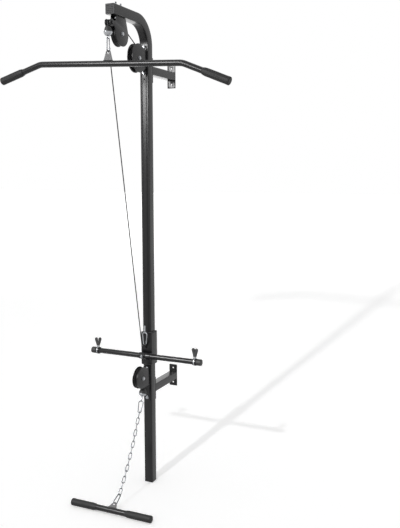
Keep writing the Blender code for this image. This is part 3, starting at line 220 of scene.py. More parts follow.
def eased(points, radius, closed=True, steps=4):
    """Rounds a flat outline's corners, apart from those that hardly bend."""
    out = []
    count = len(points)
    hardly = radians(20)
    for i, point in enumerate(points):
        if not closed and i in (0, count - 1):
            out.append(point)
            continue
        here = Vector(point)
        back = Vector(points[i - 1]) - here
        on = Vector(points[(i + 1) % count]) - here
        if back.length < 1e-9 or on.length < 1e-9 or pi - back.angle(on) < hardly:
            out.append(point)
            continue
        reach = min(radius, back.length * 0.45, on.length * 0.45)
        first, last = here + back.normalized() * reach, here + on.normalized() * reach
        for k in range(steps + 1):
            t = k / steps
            out.append(tuple(first * (1 - t) ** 2 + here * 2 * t * (1 - t) + last * t * t))
    return out


# Shapes, each a bmesh in its own frame

def bridge(shape, first, second):
    """Faces between two rings of as many points."""
    for i in range(len(first)):
        j = (i + 1) % len(first)
        shape.faces.new((first[i], first[j], second[j], second[i]))


def lathe(profile, steps=64, ring=False):
    """A turned shape of (radius, height) points; a ring's profile closes on itself."""
    shape = bmesh.new()
    rows = []
    for radius, height in profile:
        flat = circle(radius, steps) if radius > 1e-6 else [(0, 0)]
        rows.append([shape.verts.new((x, y, height)) for x, y in flat])
    for first, second in zip(rows, rows[1:] + (rows[:1] if ring else [])):
        for i in range(steps):
            j = (i + 1) % steps
            corners = [first[i % len(first)], first[j % len(first)],
                       second[j % len(second)], second[i % len(second)]]
            corners = list(dict.fromkeys(corners))
            if len(corners) > 2:
                shape.faces.new(corners)
    bmesh.ops.recalc_face_normals(shape, faces=shape.faces)
    return shape


def rod(radius, half, steps=32, edge=0.0):
    """A round rod about its middle, the edges of its ends eased."""
    profile = mirrored([(0, half), (radius, half)])
    return lathe(eased(profile, edge, closed=False) if edge else profile, steps)


def bush(outer, inner, half, edge, steps=64):
    """A round sleeve about its middle, its edges eased."""
    profile = [(outer, half), (outer, -half), (inner, -half), (inner, half)]
    return lathe(eased(profile, edge, steps=3), steps, ring=True)


def sweep(route, section, side=(1, 0, 0), closed=False, inner=None):
    """A section carried along a route; section and inner give its points for a length."""
    points = [Vector(p) for p in route]
    count = len(points)
    shape = bmesh.new()
    across = Vector(side)
    travelled = 0.0
    outside, inside = [], []
    for i, point in enumerate(points):
        back = points[i - 1] if closed or i else point
        on = points[(i + 1) % count] if closed or i < count - 1 else point
        ahead = (on - back).normalized()
        across = (across - ahead * across.dot(ahead)).normalized()
        up = ahead.cross(across)
        travelled += (point - points[i - 1]).length if i else 0.0
        for rows, form in ((outside, section), (inside, inner)):
            if form:
                rows.append([shape.verts.new(point + across * a + up * b)
                             for a, b in form(travelled)])
    for rows in (outside, inside):
        for first, second in zip(rows, rows[1:] + (rows[:1] if closed else [])):
            bridge(shape, first, second)
    for end in () if closed else (0, -1):
        if inside:
            bridge(shape, outside[end], inside[end])
        else:
            shape.faces.new(outside[end])
    bmesh.ops.recalc_face_normals(shape, faces=shape.faces)
    return shape


def round_bar(radius, steps=24):
    ring = circle(radius, steps)
    return lambda travelled: ring


def square_bar(width, height, corner, steps=5):
    ring = []
    for quarter in range(4):
        a = quarter * pi / 2
        x = (width / 2 - corner) * (1 if quarter in (0, 3) else -1)
        y = (height / 2 - corner) * (1 if quarter in (0, 1) else -1)
        ring += arc((x, y), corner, a, a + pi / 2, steps)
    return lambda travelled: ring


def rope(radius, relief, steps=24):
    """A sheathed wire rope's section, its six strands showing faintly as they wind round."""
    strands, lay = 6, 34 * MM

    def ring(travelled):
        twist = 2 * pi * travelled / lay
        points = []
        for i in range(steps):
            a = 2 * pi * i / steps
            r = radius * (1 - relief * (0.5 - 0.5 * cos(strands * (a - twist))))
            points.append((r * cos(a), r * sin(a)))
        return points
    return ring


def extruded(outline, width, holes=(), edge=0.5 * MM):
    """A plate of an outline in XY, pierced by (x, y, radius) holes, its edges rounded."""
    flat = bpy.data.curves.new("flat", "CURVE")
    flat.dimensions = "2D"
    flat.fill_mode = "BOTH"
    flat.extrude = width / 2 - edge
    flat.bevel_depth = edge
    flat.bevel_resolution = 2
    flat.offset = -edge
    rings = [outline] + [arc((x, y), r, 0, 2 * pi * 31 / 32, 31) for x, y, r in holes]
    for ring in rings:
        line = flat.splines.new("POLY")
        line.points.add(len(ring) - 1)
        for point, (x, y) in zip(line.points, ring):
            point.co = (x, y, 0, 1)
        line.use_cyclic_u = True
    holder = bpy.data.objects.new("flat", flat)
    bpy.context.scene.collection.objects.link(holder)
    mesh = evaluated(holder)
    bpy.data.objects.remove(holder, do_unlink=True)
    shape = bmesh.new()
    shape.from_mesh(mesh)
    bmesh.ops.remove_doubles(shape, verts=shape.verts, dist=0.002 * MM)
    bmesh.ops.recalc_face_normals(shape, faces=shape.faces)
    bpy.data.meshes.remove(mesh)
    return shape


def block(width, height, corner):
    """A square block on its own Z, its four long edges rounded and its end edges eased."""
    return extruded(square_bar(width, width, corner, 3)(0), height)


def merged(shapes):
    """One bmesh of (shape, frame) pairs."""
    joined = bmesh.new()
    for shape, place in shapes:
        shape.transform(place)
        mesh = bpy.data.meshes.new("part")
        shape.to_mesh(mesh)
        shape.free()
        joined.from_mesh(mesh)
        bpy.data.meshes.remove(mesh)
    return joined


# Objects

def evaluated(obj):
    bpy.context.view_layer.update()
    graph = bpy.context.evaluated_depsgraph_get()
    return bpy.data.meshes.new_from_object(obj.evaluated_get(graph))


def smooth(mesh):
    """Smooth shading, but for the sharp edges."""
    mesh.shade_smooth()
    mesh.set_sharp_from_angle(angle=radians(32))


def thing(name, shape, material=None):
    """A smooth object of a bmesh."""
    mesh = bpy.data.meshes.new(name)
    shape.to_mesh(mesh)
    shape.free()
    made = bpy.data.objects.new(name, mesh)
    bpy.context.scene.collection.objects.link(made)
    if material:
        mesh.materials.append(material)
    smooth(mesh)
    return made


def unmade(obj):
    """An object's bmesh again; the object goes."""
    shape = bmesh.new()
    shape.from_mesh(obj.data)
    bpy.data.objects.remove(obj, do_unlink=True)
    return shape


def settle(obj):
    """Makes an object's modifiers part of its mesh."""
    mesh = evaluated(obj)
    obj.modifiers.clear()
    obj.data = mesh
    return obj


def carve(obj, shape, how="DIFFERENCE"):
    """Cuts a shape out of an object, or keeps only what lies in it."""
    cutter = thing("cutter", shape)
    step = obj.modifiers.new("cut", "BOOLEAN")
    step.operation = how
    step.solver = "EXACT"
    step.object = cutter
    settle(obj)
    bpy.data.objects.remove(cutter, do_unlink=True)


def soften(obj, width):
    """Rounds an object's sharp edges."""
    step = obj.modifiers.new("rounded", "BEVEL")
    step.width = width
    step.segments = 2
    step.limit_method = "ANGLE"
    step.angle_limit = radians(35)
    step.harden_normals = True
    return settle(obj)


def fit(obj, body, nodes=()):
    """Lets a piece ride on a body and stand for CAD nodes."""
    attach(obj, body)
    if nodes:
        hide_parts(*nodes)


def piece(name, shapes, finish, body, nodes):
    """A fitted piece of (shape, frame) pairs."""
    fit(thing(name, merged(shapes), finish), body, nodes)


# Geometry node trees, each with named sizes and ending in Realize Instances, Set Material

def new_tree(name, **sizes):
    """A tree that takes a geometry, a finish and the named sizes, each a kind and a value."""
    tree = bpy.data.node_groups.new(name, "GeometryNodeTree")
    face = tree.interface
    face.new_socket("Geometry", in_out="INPUT", socket_type="NodeSocketGeometry")
    face.new_socket("Finish", in_out="INPUT", socket_type="NodeSocketMaterial")
    for word, (kind, value) in sizes.items():
        made = face.new_socket(word, in_out="INPUT", socket_type="NodeSocket" + kind)
        made.default_value = value
    face.new_socket("Geometry", in_out="OUTPUT", socket_type="NodeSocketGeometry")
    return tree, add(tree, "NodeGroupInput").outputs


def end_tree(tree, given, instances, smoothed=True):
    shape = add(tree, "GeometryNodeRealizeInstances", links={"Geometry": instances})
    if smoothed:
        shape = add(tree, "GeometryNodeSetShadeSmooth", links={"Geometry": shape.outputs[0]})
    dressed = add(tree, "GeometryNodeSetMaterial",
                  links={"Geometry": shape.outputs[0], "Material": given["Finish"]})
    add(tree, "NodeGroupOutput", links={"Geometry": dressed.outputs[0]})
    return tree


def grow(obj, tree, **values):
    """Runs a tree on an object with its inputs set by identifier, and keeps the mesh."""
    step = obj.modifiers.new(tree.name, "NODES")
    step.node_group = tree
    for item in tree.interface.items_tree:
        if item.in_out == "INPUT" and item.name in values:
            step[item.identifier] = values[item.name]
    return settle(obj)


def weld_tree():
    """Overlapping ripples of a weld along the edges of a wire path."""
    tree, given = new_tree("weld_bead", Ripple=("Float", 1.5 * MM), Size=("Float", 2.2 * MM))
    line = add(tree, "GeometryNodeMeshToCurve", links={"Mesh": given["Geometry"]})
    even = add(tree, "GeometryNodeResampleCurve",
               links={"Curve": line.outputs[0], "Length": given["Ripple"]}, mode="LENGTH")
    drop = add(tree, "GeometryNodeMeshUVSphere", {"Segments": 10, "Rings": 6, "Radius": 1.0})
    along = add(tree, "GeometryNodeInputTangent")
    aim = add(tree, "FunctionNodeAlignRotationToVector",
              links={"Vector": along.outputs[0]}, axis="Z")
    least, most = 2, 3
    uneven = add(tree, "FunctionNodeRandomValue", {least: 0.85, most: 1.12, "Seed": 7},
                 data_type="FLOAT")
    size = add(tree, "ShaderNodeMath", links={0: uneven.outputs[1], 1: given["Size"]},
               operation="MULTIPLY")
    flat = add(tree, "ShaderNodeVectorMath", {1: (1.0, 1.0, 0.62)}, {0: size.outputs[0]},
               operation="MULTIPLY")
    drops = add(tree, "GeometryNodeInstanceOnPoints",
                links={"Points": even.outputs[0], "Instance": drop.outputs[0],
                       "Rotation": aim.outputs[0], "Scale": flat.outputs[0]})
    return end_tree(tree, given, drops.outputs[0])


def chain_tree():
    """Welded oval links in a row down -Z, every second one turned a quarter."""
    tree, given = new_tree(
        "chain", Count=("Int", 5), First=("Int", 0), Pitch=("Float", 29 * MM),
        Length=("Float", 32.6 * MM), Width=("Float", 13 * MM), Wire=("Float", 2.2 * MM))
    shape = add(tree, "GeometryNodeCurvePrimitiveQuadrilateral",
                links={"Width": given["Width"], "Height": given["Length"]})
    half = add(tree, "ShaderNodeMath", {1: 0.499}, {0: given["Width"]}, operation="MULTIPLY")
    oval = add(tree, "GeometryNodeFilletCurve", {"Count": 7},
               {"Curve": shape.outputs[0], "Radius": half.outputs[0]}, mode="POLY")
    wire = add(tree, "GeometryNodeCurvePrimitiveCircle", {"Resolution": 12},
               {"Radius": given["Wire"]})
    link = add(tree, "GeometryNodeCurveToMesh",
               links={"Curve": oval.outputs[0], "Profile Curve": wire.outputs[0]})
    # The butt weld in each link's side, a little thicker than its wire
    wide = add(tree, "ShaderNodeMath", {1: 1.28}, {0: given["Wire"]}, operation="MULTIPLY")
    seam = add(tree, "GeometryNodeMeshUVSphere", {"Segments": 12, "Rings": 8},
               {"Radius": wide.outputs[0]})
    side = add(tree, "ShaderNodeMath", {1: 0.5}, {0: given["Width"]}, operation="MULTIPLY")
    beside = add(tree, "ShaderNodeCombineXYZ", links={"X": side.outputs[0]})
    moved = add(tree, "GeometryNodeTransform", {"Scale": (0.94, 1.35, 0.94)},
                {"Geometry": seam.outputs[0], "Translation": beside.outputs[0]})
    whole = add(tree, "GeometryNodeJoinGeometry", links={0: moved.outputs[0]})
    tree.links.new(link.outputs[0], whole.inputs[0])
    upright = add(tree, "GeometryNodeTransform", {"Rotation": (pi / 2, 0, pi / 2)},
                  {"Geometry": whole.outputs[0]})
    step = add(tree, "ShaderNodeMath", {1: -1.0}, {0: given["Pitch"]}, operation="MULTIPLY")
    down = add(tree, "ShaderNodeCombineXYZ", links={"Z": step.outputs[0]})
    row = add(tree, "GeometryNodeMeshLine", links={"Count": given["Count"],
                                                   "Offset": down.outputs[0]})
    number = add(tree, "GeometryNodeInputIndex")
    from_first = add(tree, "ShaderNodeMath", links={0: number.outputs[0],
                                                    1: given["First"]}, operation="ADD")
    odd = add(tree, "ShaderNodeMath", {1: 2.0}, {0: from_first.outputs[0]},
              operation="MODULO")
    quarter = add(tree, "ShaderNodeMath", {1: pi / 2}, {0: odd.outputs[0]},
                  operation="MULTIPLY")
    spin = add(tree, "ShaderNodeCombineXYZ", links={"Z": quarter.outputs[0]})
    links = add(tree, "GeometryNodeInstanceOnPoints",
                links={"Points": row.outputs[0], "Instance": upright.outputs[0],
                       "Rotation": spin.outputs[0]})
    return end_tree(tree, given, links.outputs[0])


def repeat_tree():
    """Copies of one shape at each of an object's loose points."""
    tree, given = new_tree("repeated", Shape=("Object", None))
    source = add(tree, "GeometryNodeObjectInfo", links={"Object": given["Shape"]})
    copies = add(tree, "GeometryNodeInstanceOnPoints",
                 links={"Points": given["Geometry"],
                        "Instance": source.outputs["Geometry"]})
    return end_tree(tree, given, copies.outputs[0], smoothed=False)


def ring_tree():
    """Bars set in a circle about Z, as the ribs in a wheel."""
    tree, given = new_tree("ring_of_bars", Count=("Int", 8), Radius=("Float", 30 * MM),
                           Size=("Vector", (1.0, 1.0, 1.0)))
    ring = add(tree, "GeometryNodeMeshCircle",
               links={"Vertices": given["Count"], "Radius": given["Radius"]})
    bar = add(tree, "GeometryNodeMeshCube", links={"Size": given["Size"]})
    out = add(tree, "GeometryNodeInputPosition")
    aim = add(tree, "FunctionNodeAlignRotationToVector", links={"Vector": out.outputs[0]},
              axis="X")
    bars = add(tree, "GeometryNodeInstanceOnPoints",
               links={"Points": ring.outputs[0], "Instance": bar.outputs[0],
                      "Rotation": aim.outputs[0]})
    return end_tree(tree, given, bars.outputs[0], smoothed=False)


WELD = weld_tree()
CHAIN = chain_tree()
REPEAT = repeat_tree()
RING = ring_tree()


def wire_path(name, *paths):
    """An object of bare edges, or of loose points where a path has only one."""
    verts, edges = [], []
    for points in paths:
        start = len(verts)
        verts += [tuple(p) for p in points]
        edges += [(start + i, start + i + 1) for i in range(len(points) - 1)]
    mesh = bpy.data.meshes.new(name)
    mesh.from_pydata(verts, edges, [])
    made = bpy.data.objects.new(name, mesh)
    bpy.context.scene.collection.objects.link(made)
    return made


def weld_beads(name, body, paths, size=2.2 * MM, ripple=1.5 * MM):
    bead = wire_path(name, *paths)
    grow(bead, WELD, Ripple=ripple, Size=size, Finish=POWDER_COAT)
    fit(bead, body)


# Post, arms and brackets

GAP = 0.3 * MM
POST_WIDTH = 45 * MM
POST_WALL = 2.5 * MM
POST_CORNER = 3 * MM
SPARE_HOLE_RADIUS = 4.5 * MM
SPARE_HOLE_HEIGHT = 2032 * MM
BOOM_HEIGHT = 2297 * MM
BOOM_REACH = 320 * MM
BOOM_UNDERSIDE = BOOM_HEIGHT - POST_WIDTH / 2 - GAP
BEND_START = 2186 * MM
BEND_RADIUS = BOOM_HEIGHT - BEND_START
FOOT_HEIGHT = 4 * MM
PLATE_WIDTH = 45 * MM
PLATE_HEIGHT = 118 * MM
PLATE_THICKNESS = 4 * MM
PLATE_HOLE_RADIUS = 4.5 * MM
PLATE_HOLE_OFFSET = 40 * MM
SADDLE_THICKNESS = 3.4 * MM
ARM_WIDTH = 44 * MM
ARM_HEIGHT = 40 * MM
ARM_WALL = 2 * MM
UPPER_ARM_HEIGHT = 2077 * MM
LOWER_ARM_HEIGHT = 493 * MM
WEB_FACE = POST_WIDTH / 2 + GAP


def curved(centre, radius, start, end, count):
    """An arc in the station's own upright plane, its centre given as depth and height."""
    return [spot(y, z) for y, z in arc(centre, radius, start, end, count)]


def post_and_boom():
    route = [spot(0, FOOT_HEIGHT)]
    route += curved((-BEND_RADIUS, BEND_START), BEND_RADIUS, 0, pi / 2, 28)
    route.append(spot(-BOOM_REACH, BOOM_HEIGHT))
    inside = POST_WIDTH - 2 * POST_WALL
    shape = sweep(route, square_bar(POST_WIDTH, POST_WIDTH, POST_CORNER),
                  inner=square_bar(inside, inside, 1.5 * MM))
    post = thing("post_and_boom", shape, POWDER_COAT)
    way = turn("Y", spot(-POST_WIDTH / 2, SPARE_HOLE_HEIGHT))
    carve(post, merged([(rod(SPARE_HOLE_RADIUS, 6 * MM), way)]))
    smooth(post.data)
    fit(post, "frame", ["upright"])


def boom_cap():
    """A rounded square plug with raised ribs across its face."""
    face = block(POST_WIDTH, 5.5 * MM, 4 * MM)
    piece("boom_cap", [(face, turn("-Y", spot(-BOOM_REACH - 3.1 * MM, BOOM_HEIGHT)))],
          PLUG_PLASTIC, "frame", ["boom_end_cap"])
    count, spacing = 5, 7.4 * MM
    profile = mirrored([(0, 17 * MM), (0.8 * MM, 16.4 * MM), (1.3 * MM, 15.4 * MM)])
    ribs = [(lathe(profile, 16), turn("X", spot(-BOOM_REACH - 6.2 * MM,
                                                BOOM_HEIGHT + (i - count // 2) * spacing)))
            for i in range(count)]
    piece("boom_cap_ribs", ribs, PLUG_PLASTIC, "frame", ())


def foot_plug():
    piece("foot_plug", [
        (block(POST_WIDTH, 3.7 * MM, POST_CORNER), turn("Z", spot(0, 1.85 * MM))),
        (block(39 * MM, 16 * MM, 1.5 * MM), turn("Z", spot(0, 11 * MM)))],
        STOP_RUBBER, "frame", ["foot_cap"])


def wall_arm(word, height):
    """A rectangular arm welded between a saddle at the post and the drilled wall plate."""
    x, z = PLATE_WIDTH / 2, PLATE_HEIGHT / 2
    outline = eased([(x, -z), (x, z), (-x, z), (-x, -z)], 3 * MM)
    holes = [(0, side * PLATE_HOLE_OFFSET, PLATE_HOLE_RADIUS) for side in (1, -1)]
    wall_plate = extruded(outline, PLATE_THICKNESS, holes, 0.6 * MM)
    saddle = extruded(outline, SADDLE_THICKNESS, edge=0.6 * MM)
    arm = sweep([spot(WEB_FACE + 3 * MM, height), spot(WALL_TO_POST - 3 * MM, height)],
                square_bar(ARM_WIDTH, ARM_HEIGHT, 4 * MM),
                inner=square_bar(ARM_WIDTH - 2 * ARM_WALL, ARM_HEIGHT - 2 * ARM_WALL,
                                 2.4 * MM))
    piece(f"{word}_wall_arm", [
        (wall_plate, turn("Y", spot(WALL_TO_POST - PLATE_THICKNESS / 2, height))),
        (saddle, turn("Y", spot(WEB_FACE + SADDLE_THICKNESS / 2, height))),
        (arm, Matrix())], POWDER_COAT, "frame", [f"{word}_wall_bracket"])
    beside = ARM_HEIGHT / 2 + 0.4 * MM
    weld_beads(f"{word}_arm_welds", "frame", [
        [spot(y, height + side * beside, x * MM) for x in range(-20, 21, 4)]
        for y in (WEB_FACE + 3.9 * MM, WALL_TO_POST - 4.4 * MM) for side in (1, -1)])


CHEEK_GAP = 21 * MM
CHEEK = 3.5 * MM
BRACKET_WIDTH = CHEEK_GAP + 2 * CHEEK
WEB_FRONT = -WEB_FACE - CHEEK
BOOM_CENTRE = (-246 * MM, 2202 * MM)
UPPER_CENTRE = (-92 * MM, 2120 * MM)
LOWER_CENTRE = (-92 * MM, 573 * MM)
ROLLER_CENTRE = (-332 * MM, 2237 * MM)
WHEELS = {"boom": BOOM_CENTRE, "upper": UPPER_CENTRE, "lower": LOWER_CENTRE}
# Stands a (depth, height) outline up at the post, its thickness across
SIDE_ON = (Matrix.Translation(spot(0, 0)) @ Matrix.Rotation(pi / 2, 4, "Z")
           @ Matrix.Rotation(pi / 2, 4, "X"))


def folded_bracket(word, outline, low, high):
    """A folded steel bracket: its side outline as wide as it is, less the pulley's space,
    which goes from a low to a high (depth, height)."""
    made = thing(f"{word}_bracket", merged([(extruded(outline, BRACKET_WIDTH,
                                                      edge=0.01 * MM), SIDE_ON)]),
                 POWDER_COAT)
    space = bmesh.new()
    bmesh.ops.create_cube(space, size=1.0)
    bmesh.ops.scale(space, vec=(CHEEK_GAP, high[0] - low[0], high[1] - low[1]),
                    verts=space.verts)
    middle = spot((low[0] + high[0]) / 2, (low[1] + high[1]) / 2)
    carve(made, merged([(space, Matrix.Translation(middle))]))
    soften(made, 0.7 * MM)
    smooth(made.data)
    fit(made, "frame", [f"{word}_pulley_bracket"])


def boom_bracket():
    """A lobe round the pulley and a nose for the guide roller, under the boom."""
    cheek, nose = 54 * MM, 16 * MM
    web_rear, web_front = -214 * MM, -298 * MM
    waist, neck = ROLLER_CENTRE[0] + 22 * MM, 9.9 * MM
    outline = [(web_rear, BOOM_UNDERSIDE)]
    outline += arc(BOOM_CENTRE, cheek, radians(12), radians(-185), 48)
    outline.append((waist, ROLLER_CENTRE[1] - neck))
    outline += arc(ROLLER_CENTRE, nose, radians(-50), radians(-310), 30)
    outline += [(waist, ROLLER_CENTRE[1] + neck), (web_front, ROLLER_CENTRE[1] + nose),
                (web_front, BOOM_UNDERSIDE)]
    folded_bracket("boom", eased(outline, 5 * MM), (-380 * MM, 2090 * MM),
                   (-130 * MM, BOOM_UNDERSIDE - CHEEK))


def upper_bracket():
    """Round cheeks on a web that is bolted to the post's front."""
    middle, cheek, root = UPPER_CENTRE[1], 66 * MM, 37 * MM
    outline = [(-WEB_FACE, middle + cheek), (WEB_FRONT, middle + cheek),
               (WEB_FRONT, middle + root)]
    outline += arc(UPPER_CENTRE, cheek, radians(68), radians(292), 56)
    outline += [(WEB_FRONT, middle - root), (WEB_FRONT, middle - cheek),
                (-WEB_FACE, middle - cheek)]
    folded_bracket("upper", outline, (-190 * MM, 2040 * MM), (WEB_FRONT, 2200 * MM))


def lower_bracket():
    """Cheeks that are round above and below the wheel, down from a shoulder at the post."""
    top, shoulder, low, web_low = 630.7 * MM, 616 * MM, 524 * MM, 440 * MM
    front = -152 * MM
    depth, height = LOWER_CENTRE
    outline = [(-WEB_FACE, shoulder), (WEB_FRONT, shoulder)]
    for a in range(48, 271, 6):
        reach = (top if a < 180 else low) - height
        outline.append((depth + (depth - front) * cos(radians(a)),
                        height + abs(reach) * sin(radians(a))))
    outline += [(WEB_FRONT, low), (WEB_FRONT, web_low), (-WEB_FACE, web_low)]
    folded_bracket("lower", outline, (front - 20 * MM, web_low - 10 * MM),
                   (WEB_FRONT, top + 10 * MM))


# Bolts

BOLT_HEIGHTS = {"upper_top": 2178 * MM, "upper_bottom": 2062 * MM, "lower_top": 606 * MM,
                "lower_bottom": 455 * MM}
BOOM_BOLT_DEPTHS = (-275 * MM, -233 * MM)
BOOM_BOLT_TAIL = 10.1 * MM


def hexagon(across, height, dome=0.0):
    """A hexagon head or nut on the XY plane, its corners turned down."""
    radius = across / 2 / cos(pi / 6)
    blank = thing("hexagon", extruded(arc((0, 0), radius, 0, 2 * pi * 5 / 6, 5), height,
                                      edge=0.01 * MM))
    blank.data.transform(Matrix.Translation((0, 0, height / 2)))
    drop = radius - across / 2
    carve(blank, lathe([
        (0, height + dome), (across / 2 * 0.6, height + dome),
        (across / 2 * 0.97, height - 0.05 * MM), (radius + 1 * MM, height - drop),
        (radius + 1 * MM, 0), (0, 0)], 48), "INTERSECT")
    return unmade(blank)


def thread(radius, top, bottom):
    """A threaded stud's profile, its end chamfered."""
    pitch, depth = 1.25 * MM, 0.45 * MM
    points = [(0.0, top), (radius - depth, top), (radius, top - depth)]
    z = top - depth
    while z - pitch > bottom:
        points += [(radius - depth, z - pitch / 2), (radius, z - pitch)]
        z -= pitch
    return points + [(radius, bottom), (0.0, bottom)]


def washer(outer, inner, height):
    """A washer on the XY plane."""
    edge = 0.25 * MM
    return lathe([(outer - edge, height), (outer, height - edge), (outer, edge),
                  (outer - edge, 0), (inner, 0), (inner, height)], 40, ring=True)


def nut_and_tail(tail):
    """A hexagon nut on a washer, with the threaded end that stands out of it; base at 0."""
    return merged([(washer(8 * MM, 4.2 * MM, 1.2 * MM), Matrix()),
                   (hexagon(12.6 * MM, 5 * MM), Matrix.Translation((0, 0, 1.2 * MM))),
                   (lathe(thread(4 * MM, 6.2 * MM + tail, 1 * MM), 28), Matrix())])


def small_head():
    return merged([(washer(8 * MM, 3.9 * MM, 1.2 * MM), Matrix()),
                   (hexagon(12.6 * MM, 4.6 * MM, 0.2 * MM),
                    Matrix.Translation((0, 0, 1.1 * MM)))])


def large_head():
    return merged([(washer(9.6 * MM, 4.9 * MM, 1.4 * MM), Matrix()),
                   (hexagon(15 * MM, 4.8 * MM, 0.3 * MM),
                    Matrix.Translation((0, 0, 1.3 * MM)))])


def repeated(name, shape, places, nodes):
    """One plated shape copied to several places on the frame by the tree of copies."""
    model = thing(name + "_model", shape, ZINC_PLATE)
    copies = wire_path(name, *[[p] for p in places])
    grow(copies, REPEAT, Shape=model, Finish=ZINC_PLATE)
    bpy.data.objects.remove(model, do_unlink=True)
    smooth(copies.data)
    fit(copies, "frame", nodes)


def pivot_bolt(name, node, centre, radius, head, tail, finish):
    """A bolt through a bracket's two cheeks, with its nut on the left."""
    outer = BRACKET_WIDTH / 2 + 0.02 * MM
    place = Matrix.Translation(spot(*centre))
    piece(name, [(rod(radius, outer), place @ turn("X")),
                 (head, place @ turn("X", (outer, 0, 0))),
                 (nut_and_tail(tail), place @ turn("-X", (-outer, 0, 0)))],
          finish, "frame", [node])


def bolts():
    repeated("bracket_bolts", merged([(small_head(), turn("-Y"))]),
             [spot(WEB_FRONT - 0.05 * MM, z) for z in BOLT_HEIGHTS.values()],
             [f"bracket_bolt_{where}" for where in BOLT_HEIGHTS])
    pair = merged([(small_head(), turn("-Z", (0, 0, BOOM_UNDERSIDE - CHEEK))),
                   (nut_and_tail(BOOM_BOLT_TAIL),
                    turn("Z", (0, 0, BOOM_HEIGHT + POST_WIDTH / 2)))])
    repeated("boom_bolts", pair, [spot(y, 0) for y in BOOM_BOLT_DEPTHS],
             ["boom_bolt_front", "boom_bolt_rear"])
    for word, centre in WHEELS.items():
        pivot_bolt(f"{word}_pivot_bolt", f"{word}_axle", centre, 5 * MM, large_head(),
                   0.6 * MM, ZINC_PLATE)
    pivot_bolt("roller_pivot_bolt", "guide_axle", ROLLER_CENTRE, 4 * MM, small_head(),
               0.2 * MM, POWDER_COAT)


# Pulleys, bearings and the guide roller

CABLE_RADIUS = 2.5 * MM
CABLE_RING = 46.5 * MM
ROLLER_RING = 11.5 * MM
WHEEL_HALF = 9.5 * MM


def pulley(word, centre):
    """A moulded wheel: flanged groove, dished web with ribs, and a hub for the bearing."""
    half, rim, groove, hub, bore = WHEEL_HALF, 52 * MM, 43.9 * MM, 17 * MM, 11.35 * MM
    web = half - 4.6 * MM
    outer = [(rim, half), (rim, half - 1.8 * MM), (groove + 2.2 * MM, 3.2 * MM),
             (groove, 1.4 * MM)]
    side = [(40 * MM, -half), (38 * MM, -web), (hub + 1.4 * MM, -web), (hub, -half),
            (bore, -half)]
    profile = eased(mirrored(outer) + mirrored(side), 1.0 * MM, steps=3)
    place = turn("X", spot(*centre))
    body = f"{word}_wheel"
    piece(f"{body}_body", [(lathe(profile, 96, ring=True), place)], NYLON, body,
          [f"{word}_pulley"])
    ribs = wire_path(f"{body}_ribs", [(0, 0, 0)])
    grow(ribs, RING, Count=8, Radius=28.2 * MM, Size=(20.6 * MM, 2.4 * MM, 18.4 * MM),
         Finish=NYLON)
    ribs.data.transform(place)
    fit(soften(ribs, 0.5 * MM), body)
    race = [(11 * MM, 9.9 * MM), (9.2 * MM, 9.9 * MM), (8.9 * MM, 9.3 * MM),
            (7.0 * MM, 9.3 * MM), (6.7 * MM, 9.9 * MM), (5.2 * MM, 9.9 * MM)]
    piece(f"{word}_ball_bearing", [(lathe(mirrored(race), 64, ring=True), place)],
          ZINC_PLATE, body, [f"{word}_bearing"])


def guide_roller():
    half, rim, groove, bore = WHEEL_HALF, 14.5 * MM, 8.7 * MM, 4.2 * MM
    outer = [(rim, half), (rim, half - 2 * MM), (groove, 2 * MM)]
    profile = eased(mirrored(outer) + [(bore, -half), (bore, half)], 0.9 * MM, steps=3)
    piece("small_guide_roller", [(lathe(profile, 64, ring=True),
                                  turn("X", spot(*ROLLER_CENTRE)))],
          NYLON, "guide_wheel", ["guide_roller"])


# Cables: the pieces that run between bodies are left on no body; those round the pulleys ride on
# the frame

LAT_DEPTH = -343.5 * MM
CARRIAGE_DEPTH = -45.5 * MM
LOW_LEAN = radians(22)
LOW_EYE = Vector((0, -0.609392, 0.044477))
LOW_RUN = LOW_EYE - spot(*LOWER_CENTRE)
LOW_RUN_ANGLE = atan2(LOW_RUN.z, LOW_RUN.y) - acos(CABLE_RING / LOW_RUN.length)
SPAN = (BOOM_CENTRE[0] - UPPER_CENTRE[0], BOOM_CENTRE[1] - UPPER_CENTRE[1])
SPAN_NORMAL = atan2(SPAN[1], SPAN[0]) - pi / 2


def downwards(lean):
    """The direction down a line that leans forwards."""
    return Vector((0, -sin(lean), -cos(lean)))


def spaced(points, step):
    """A route with even points along its straight pieces."""
    out = [points[0]]
    for a, b in zip(points, points[1:]):
        count = max(1, round((b - a).length / step))
        out += [a.lerp(b, i / count) for i in range(1, count + 1)]
    return out


def cable(name, node, route, step=4.5 * MM, relief=0.05):
    made = thing(name, sweep(spaced(route, step), rope(CABLE_RADIUS, relief)), SHEATH)
    made.data.shade_smooth()
    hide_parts(node)
    return made


def upper_cable():
    """From the carriage over both pulleys and the guide roller to the lat bar's stopper."""
    low = spot(CARRIAGE_DEPTH, 831 * MM)
    high = spot(CARRIAGE_DEPTH, UPPER_CENTRE[1])
    run = cable("carriage_cable_run", "upper_cable", [low, high])
    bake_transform(run)
    overlap = Vector((0, 0, 1 * MM))
    wrap = [high - overlap] + curved(UPPER_CENTRE, CABLE_RING, 0, SPAN_NORMAL, 40)
    wrap += curved(BOOM_CENTRE, CABLE_RING, SPAN_NORMAL, pi / 2, 26)
    wrap += curved(ROLLER_CENTRE, ROLLER_RING, pi / 2, pi, 16)
    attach(cable("pulley_cable_wrap", "upper_cable", wrap), "frame")
    top = spot(LAT_DEPTH, ROLLER_CENTRE[1])
    drop = cable("high_cable_drop", "upper_cable",
                 [top + overlap, spot(LAT_DEPTH, 2205 * MM)], 0.3 * MM, 0.0)
    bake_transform(drop)


